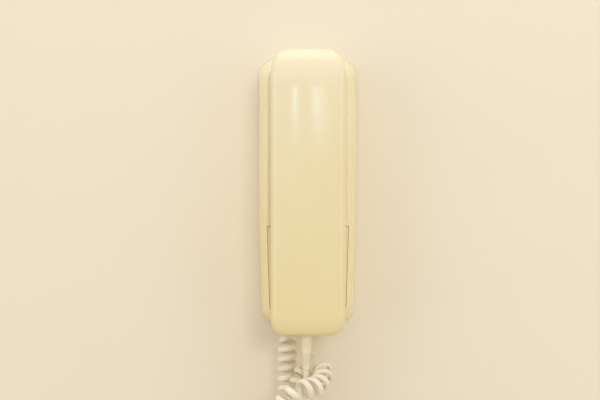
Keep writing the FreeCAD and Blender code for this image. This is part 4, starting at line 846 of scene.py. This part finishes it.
def plastic(slot, clean, old, ageing=0.5, dust=0.25, gloss=0.3, scratches=0.0, bump=0.12, painted_top_light=0.0):
    tree, shader = finish_of(slot)
    values = {"Clean": clean, "Aged": old, "Ageing": ageing, "Dust": dust, "Gloss": gloss, "Top Light": painted_top_light}
    base = add(tree, "ShaderNodeGroup", values, node_tree=aged)
    rough = base.outputs["Roughness"]
    if scratches:
        lined = add(tree, "ShaderNodeGroup", {"Amount": scratches}, node_tree=scratched)
        rough = sums(tree, "ADD", rough, lined.outputs["Mask"])
    wire(tree, shader, base.outputs["Color"], rough, base.outputs["Height"], bump)


# The last value of each shell is its share of painted top light.
plastic("handset_plastic", colour(238, 225, 191), colour(232, 213, 158), 1.0, 0.08, 0.15, 0.08, 0.03, 0.75)
# Painted light: the base's and the cover's colours are paler to lift the shade on the flanks and beside the handset.
plastic("base_plastic", colour(246, 233, 196), colour(241, 222, 169), 0.9, 0.15, 0.25, 0.06, 0.02, 0.6)
plastic("cover_plastic", colour(248, 234, 188), colour(246, 228, 170), 0.9, 0.15, 0.26, 0.06, 0.02, 0.5)
plastic("plate_plastic", colour(226, 218, 198), colour(214, 202, 172), 0.5, 0.2, 0.42)
plastic("key_plastic", colour(240, 232, 212), colour(229, 214, 176), 0.5, 0.15, 0.34, scratches=0.1)
plastic("terminal_plastic", colour(224, 216, 196), colour(205, 192, 160), 0.4, 0.2, 0.38)
plastic("hook_plastic", colour(238, 234, 222), colour(224, 212, 184), 0.4, 0.1, 0.36)
plastic("switch_plastic", colour(46, 44, 42), colour(62, 58, 52), 0.6, 0.35, 0.4)
plastic("knob_plastic", colour(196, 176, 132), colour(176, 152, 104), 0.6, 0.3, 0.4, scratches=0.1)
plastic("jack_plastic", colour(54, 52, 50), colour(72, 68, 62), 0.5, 0.3, 0.38)
plastic("speaker_case", colour(40, 39, 38), colour(58, 55, 50), 0.5, 0.3, 0.42)
plastic("chip_black", colour(34, 34, 35), colour(46, 45, 44), 0.5, 0.35, 0.5, bump=0.3)
print(len(finishes), "plastics")

# %% [markdown]
# ## Metal
# The bracket is zinc-plated sheet steel, the screws and springs are bright plated wire, and the ballast is a raw
# block of steel. Rolling leaves fine lines, plating leaves a cloudy sheen, and age leaves dull spots with a little
# rust. One group makes all of these, with the lines' direction fixed and their strength given.

# %% Metal group and metals
rolled, given, made = effect(
    "rolled_metal",
    {"Bright": (0.6, 0.6, 0.6, 1), "Dull": (0.4, 0.4, 0.4, 1), "Rust": 0.0, "Lines": 0.5, "Gloss": 0.35},
    {"Color": (1, 1, 1, 1), "Roughness": 0.3, "Height": 0.0},
)
here = place_of(rolled)
cloud = spread(rolled, noise(rolled, here, 130.0, 4.0, 0.65), 0.38, 0.64)
plated = mixed(rolled, cloud, given["Bright"], given["Dull"])
spots = sums(rolled, "MULTIPLY", spread(rolled, noise(rolled, here, 240.0, 5.0, 0.7), 0.62, 0.74), given["Rust"])
rolled.links.new(mixed(rolled, spots, plated, colour(122, 84, 52)), made["Color"])
draw_lines = noise(rolled, stretched(rolled, here, (3200.0, 3200.0, 60.0)), 1.0, 2.0, 0.5)
rubbed = sums(rolled, "MULTIPLY", spread(rolled, draw_lines, 0.3, 0.7, -0.08, 0.1), given["Lines"])
dulled = sums(rolled, "ADD", spread(rolled, cloud, 0.0, 1.0, -0.05, 0.08), sums(rolled, "MULTIPLY", spots, 0.4))
rolled.links.new(sums(rolled, "ADD", sums(rolled, "ADD", given["Gloss"], rubbed), dulled), made["Roughness"])
rolled.links.new(sums(rolled, "MULTIPLY", draw_lines, given["Lines"]), made["Height"])


def metal(slot, bright, dull, rust=0.2, lines_seen=0.6, gloss=0.32, bump=0.1):
    tree, shader = finish_of(slot, metallic=1.0)
    values = {"Bright": bright, "Dull": dull, "Rust": rust, "Lines": lines_seen, "Gloss": gloss}
    base = add(tree, "ShaderNodeGroup", values, node_tree=rolled)
    wire(tree, shader, base.outputs["Color"], base.outputs["Roughness"], base.outputs["Height"], bump)


metal("bracket_steel", colour(206, 208, 206), colour(178, 178, 170), 0.25, 0.6, 0.36)
metal("screw_steel", colour(214, 212, 206), colour(186, 182, 170), 0.2, 0.3, 0.28)
metal("spring_steel", colour(200, 200, 198), colour(160, 158, 150), 0.15, 0.8, 0.3)
metal("capsule_metal", colour(206, 206, 204), colour(180, 180, 176), 0.1, 0.4, 0.3)
metal("ballast_steel", colour(150, 148, 144), colour(118, 114, 106), 0.6, 0.9, 0.45)
print("metals done,", len(finishes), "finishes")

# %% [markdown]
# ## Rubber and wire insulation
# Rubber is matt, with a pale bloom that comes to its surface. The leads inside are PVC, each in its own
# colour, a little glossier. Both are the same group with other values.

# %% Rubber group, rubbers and leads
supple, given, made = effect(
    "supple",
    {"Tone": (0.2, 0.2, 0.2, 1), "Bloom": (0.4, 0.4, 0.4, 1), "Amount": 0.3, "Gloss": 0.6},
    {"Color": (1, 1, 1, 1), "Roughness": 0.5, "Height": 0.0},
)
here = place_of(supple)
bloom = sums(supple, "MULTIPLY", spread(supple, noise(supple, here, 210.0, 5.0, 0.65), 0.35, 0.7), given["Amount"])
supple.links.new(mixed(supple, bloom, given["Tone"], given["Bloom"]), made["Color"])
supple.links.new(sums(supple, "ADD", given["Gloss"], sums(supple, "MULTIPLY", bloom, 0.25)), made["Roughness"])
supple.links.new(noise(supple, here, 1900.0, 3.0, 0.6), made["Height"])


def soft(slot, tone, bloomed, amount=0.35, gloss=0.6, bump=0.2):
    tree, shader = finish_of(slot)
    values = {"Tone": tone, "Bloom": bloomed, "Amount": amount, "Gloss": gloss}
    base = add(tree, "ShaderNodeGroup", values, node_tree=supple)
    wire(tree, shader, base.outputs["Color"], base.outputs["Roughness"], base.outputs["Height"], bump)


soft("bumper_rubber", colour(226, 222, 212), colour(240, 236, 226))
soft("seal_rubber", colour(44, 43, 42), colour(96, 92, 86))
soft("mat_rubber", colour(206, 204, 198), colour(228, 226, 220), 0.4, 0.5)
soft("lead_red", colour(176, 38, 32), colour(196, 78, 66), 0.3, 0.42)
soft("lead_green", colour(38, 112, 62), colour(78, 140, 92), 0.3, 0.42)
soft("lead_yellow", colour(222, 186, 52), colour(230, 206, 110), 0.3, 0.42)
soft("lead_black", colour(32, 32, 33), colour(66, 64, 62), 0.3, 0.42)
soft("lead_white", colour(228, 224, 214), colour(238, 234, 226), 0.3, 0.42)
soft("sleeve_vinyl", colour(238, 227, 198), colour(222, 209, 174), 0.6, 0.42)
print("rubbers and leads done,", len(finishes), "finishes")

# %% [markdown]
# ## Printed boards
# The base's board is glass fibre under a green solder mask, and copper tracks show through it as paler raised
# lines. The keypad's board is brown paper laminate. Both come from one group: tracks from the edges of stretched
# Voronoi cells, and round solder pads from a second Voronoi pattern.

# %% Board group and boards
printed, given, made = effect(
    "printed_board",
    {"Mask": (0.05, 0.2, 0.1, 1), "Track": (0.1, 0.35, 0.18, 1), "Pad": (0.6, 0.6, 0.6, 1)},
    {"Color": (1, 1, 1, 1), "Roughness": 0.4, "Height": 0.0},
)
here = place_of(printed)
flat_place = add(printed, "ShaderNodeVectorMath", {0: here, 1: (1.0, 0.0, 1.0)}, operation="MULTIPLY").outputs[0]
cells = add(
    printed, "ShaderNodeTexVoronoi", {"Vector": flat_place, "Scale": 190.0, "Randomness": 0.75},
    feature="DISTANCE_TO_EDGE", distance="EUCLIDEAN",
).outputs["Distance"]
tracks = spread(printed, cells, 0.07, 0.1, 1.0, 0.0)
dots = add(
    printed, "ShaderNodeTexVoronoi", {"Vector": flat_place, "Scale": 230.0, "Randomness": 0.55}
).outputs["Distance"]
pads = spread(printed, dots, 0.2, 0.24, 1.0, 0.0)
masked = mixed(printed, tracks, given["Mask"], given["Track"])
printed.links.new(mixed(printed, pads, masked, given["Pad"]), made["Color"])
resin = spread(printed, noise(printed, here, 480.0, 3.0), 0.3, 0.7, 0.3, 0.44)
printed.links.new(resin, made["Roughness"])
printed.links.new(sums(printed, "MAXIMUM", tracks, sums(printed, "MULTIPLY", pads, 2.0)), made["Height"])

for slot, mask_tone, track_tone, pad_tone in (
    ("board_green", colour(26, 86, 52), colour(54, 122, 74), colour(198, 198, 190)),
    ("board_brown", colour(150, 112, 66), colour(176, 128, 74), colour(58, 54, 50)),
):
    tree, shader = finish_of(slot)
    values = {"Mask": mask_tone, "Track": track_tone, "Pad": pad_tone}
    base = add(tree, "ShaderNodeGroup", values, node_tree=printed)
    wire(tree, shader, base.outputs["Color"], base.outputs["Roughness"], base.outputs["Height"], 0.4, 0.1 * MM)
print("boards done,", len(finishes), "finishes")

# %% [markdown]
# ## Transformer and capacitors
# The transformer's core is a stack of thin dark steel sheets, which show as stripes, and its coil is wrapped in
# yellow tape where it stands out above and below the core. The capacitors wear a dark sleeve with a pale stripe, and
# their tops are bare aluminium.

# %% Transformer and capacitor finishes
CORE_HALF = 6.0 * MM
SHEET_PITCH = 0.5 * MM

core_low, core_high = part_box("line_transformer")
tree, shader = finish_of("transformer")
here = place_of(tree)
axes = add(tree, "ShaderNodeSeparateXYZ", {"Vector": here}).outputs
middle_level = (core_low.z + core_high.z) / 2
from_middle = sums(tree, "ABSOLUTE", sums(tree, "SUBTRACT", axes["Z"], middle_level), 0.0)
taped = spread(tree, from_middle, CORE_HALF, CORE_HALF + 0.1 * MM)
sheet_wave = sums(tree, "SINE", sums(tree, "MULTIPLY", axes["X"], 2 * math.pi / SHEET_PITCH), 0.0)
sheets = spread(tree, sheet_wave, -1.0, 1.0)
rusty = spread(tree, noise(tree, here, 320.0, 4.0), 0.4, 0.7)
steel = mixed(tree, rusty, mixed(tree, sheets, colour(58, 58, 60), colour(92, 91, 90)), colour(96, 74, 58))
tape = mixed(tree, spread(tree, noise(tree, here, 240.0), 0.35, 0.65), colour(214, 178, 66), colour(192, 150, 48))
wire(tree, shader, mixed(tree, taped, steel, tape), spread(tree, rusty, 0, 1, 0.38, 0.55), sheets, 0.4, 0.1 * MM)

tree, shader = finish_of("capacitor_can")
here = place_of(tree)
facing = facing_of(tree)
top = spread(tree, facing["Y"], -0.9, -0.8, 1.0, 0.0)
stripe = spread(tree, facing["X"], 0.86, 0.9)
print_wear = spread(tree, noise(tree, here, 600.0, 4.0), 0.3, 0.6)
jacket = mixed(tree, sums(tree, "MULTIPLY", stripe, print_wear), colour(36, 42, 74), colour(196, 200, 208))
wire(
    tree, shader, mixed(tree, top, jacket, colour(196, 197, 198)),
    spread(tree, noise(tree, here, 300.0), 0.3, 0.7, 0.28, 0.4), noise(tree, here, 1200.0), 0.15,
)
tree.links.new(top, shader.inputs["Metallic"])
print("transformer and capacitors done,", len(finishes), "finishes")

# %% [markdown]
# ## The cord's vinyl and the plug
# Four conductors lie side by side in the cord, and its flat sides show them as soft ridges. The tube's UV map goes
# once round the section, so a wave of U gives the ridges at the same places all along the cord. Handling leaves a
# faint grey in the grooves. The plug is clear polycarbonate, a little yellow, with a roughness of its own.

# %% Vinyl and plug finishes
RIDGES = 8

tree, shader = finish_of("cord_vinyl")
here = place_of(tree)
cord_uv = add(tree, "ShaderNodeUVMap", uv_map="cord_uv").outputs["UV"]
round_it = add(tree, "ShaderNodeSeparateXYZ", {"Vector": cord_uv}).outputs["X"]
wave = sums(tree, "COSINE", sums(tree, "MULTIPLY", round_it, 2 * math.pi * RIDGES), 0.0)
ridge = spread(tree, wave, -1.0, 0.4)
worn = spread(tree, noise(tree, here, 70.0, 4.0), 0.35, 0.65)
white = mixed(tree, worn, colour(243, 236, 218), colour(236, 225, 199))
groove = sums(tree, "MULTIPLY", spread(tree, ridge, 0.0, 1.0, 0.3, 0.0), worn)
touched = mixed(tree, groove, white, colour(186, 174, 148))
gloss = spread(tree, noise(tree, here, 240.0, 4.0), 0.3, 0.7, 0.34, 0.5)
vinyl_grain = sums(tree, "MULTIPLY", noise(tree, here, 1500.0), 0.15)
wire(tree, shader, touched, gloss, sums(tree, "ADD", ridge, vinyl_grain), 0.5, 0.12 * MM)
shader.inputs["Subsurface Weight"].default_value = 0.08
shader.inputs["Subsurface Radius"].default_value = (1.6 * MM, 1.2 * MM, 0.7 * MM)
shader.inputs["Subsurface Scale"].default_value = 1.0

tree, shader = finish_of("plug_plastic", index=1.58)
here = place_of(tree)
cloudy = spread(tree, noise(tree, here, 160.0, 4.0), 0.35, 0.7)
wire(
    tree, shader, mixed(tree, cloudy, colour(236, 232, 214), colour(222, 214, 186)),
    spread(tree, cloudy, 0, 1, 0.12, 0.3), noise(tree, here, 900.0, 3.0), 0.15,
)
shader.inputs["Transmission Weight"].default_value = 0.55
print("cord and plug done,", len(finishes), "finishes")

# %% [markdown]
# ## Wall and floor finishes
# The wall is a plain warm white. Seen from behind it is clear to the camera alone, so its light and its shadows stay
# as they are.

# %% Backdrop finishes
WALL_COLOUR = colour(238, 227, 205)


def backdrop_finish(name, tone):
    tree, shader = finish_of(name)
    here = place_of(tree)
    uneven = spread(tree, noise(tree, here, 6.0, 2.0), 0.3, 0.7)
    paper = mixed(tree, uneven, tone, tuple(c * 0.985 for c in tone[:3]) + (1.0,))
    wire(tree, shader, paper, spread(tree, uneven, 0, 1, 0.85, 0.9), noise(tree, here, 700.0), 0.05)
    shader.inputs["Specular IOR Level"].default_value = 0.2
    clear = add(tree, "ShaderNodeBsdfTransparent").outputs[0]
    camera_ray = add(tree, "ShaderNodeLightPath").outputs["Is Camera Ray"]
    behind = add(tree, "ShaderNodeNewGeometry").outputs["Backfacing"]
    from_behind = sums(tree, "MULTIPLY", camera_ray, behind)
    seen_through = add(tree, "ShaderNodeMixShader", {0: from_behind, 1: shader.outputs[0], 2: clear})
    tree.links.new(seen_through.outputs[0], tree.nodes["Material Output"].inputs["Surface"])


backdrop_finish("wall_paint", WALL_COLOUR)
backdrop_finish("floor_paint", WALL_COLOUR)
wall.data.materials.append(finishes["wall_paint"])
floor.data.materials.append(finishes["floor_paint"])
print("wall and floor painted")

# %% [markdown]
# ## Dressing every piece
# Each solid names its material slot in the record, and each new piece was given one. Now every one of them, the
# hidden solids too, gets the finish of that name.

# %% Finishes on pieces
def dress(thing, slot):
    if not thing.material_slots:
        thing.data.materials.append(finishes[slot])
    for place in thing.material_slots:
        place.material = finishes[slot]


for node, solid in nodes.items():
    dress(solid, slot_of(node))
for piece, finish in new_pieces:
    dress(piece, finish)
print(len(nodes), "solids and", len(new_pieces), "new pieces dressed in", len(finishes), "finishes")
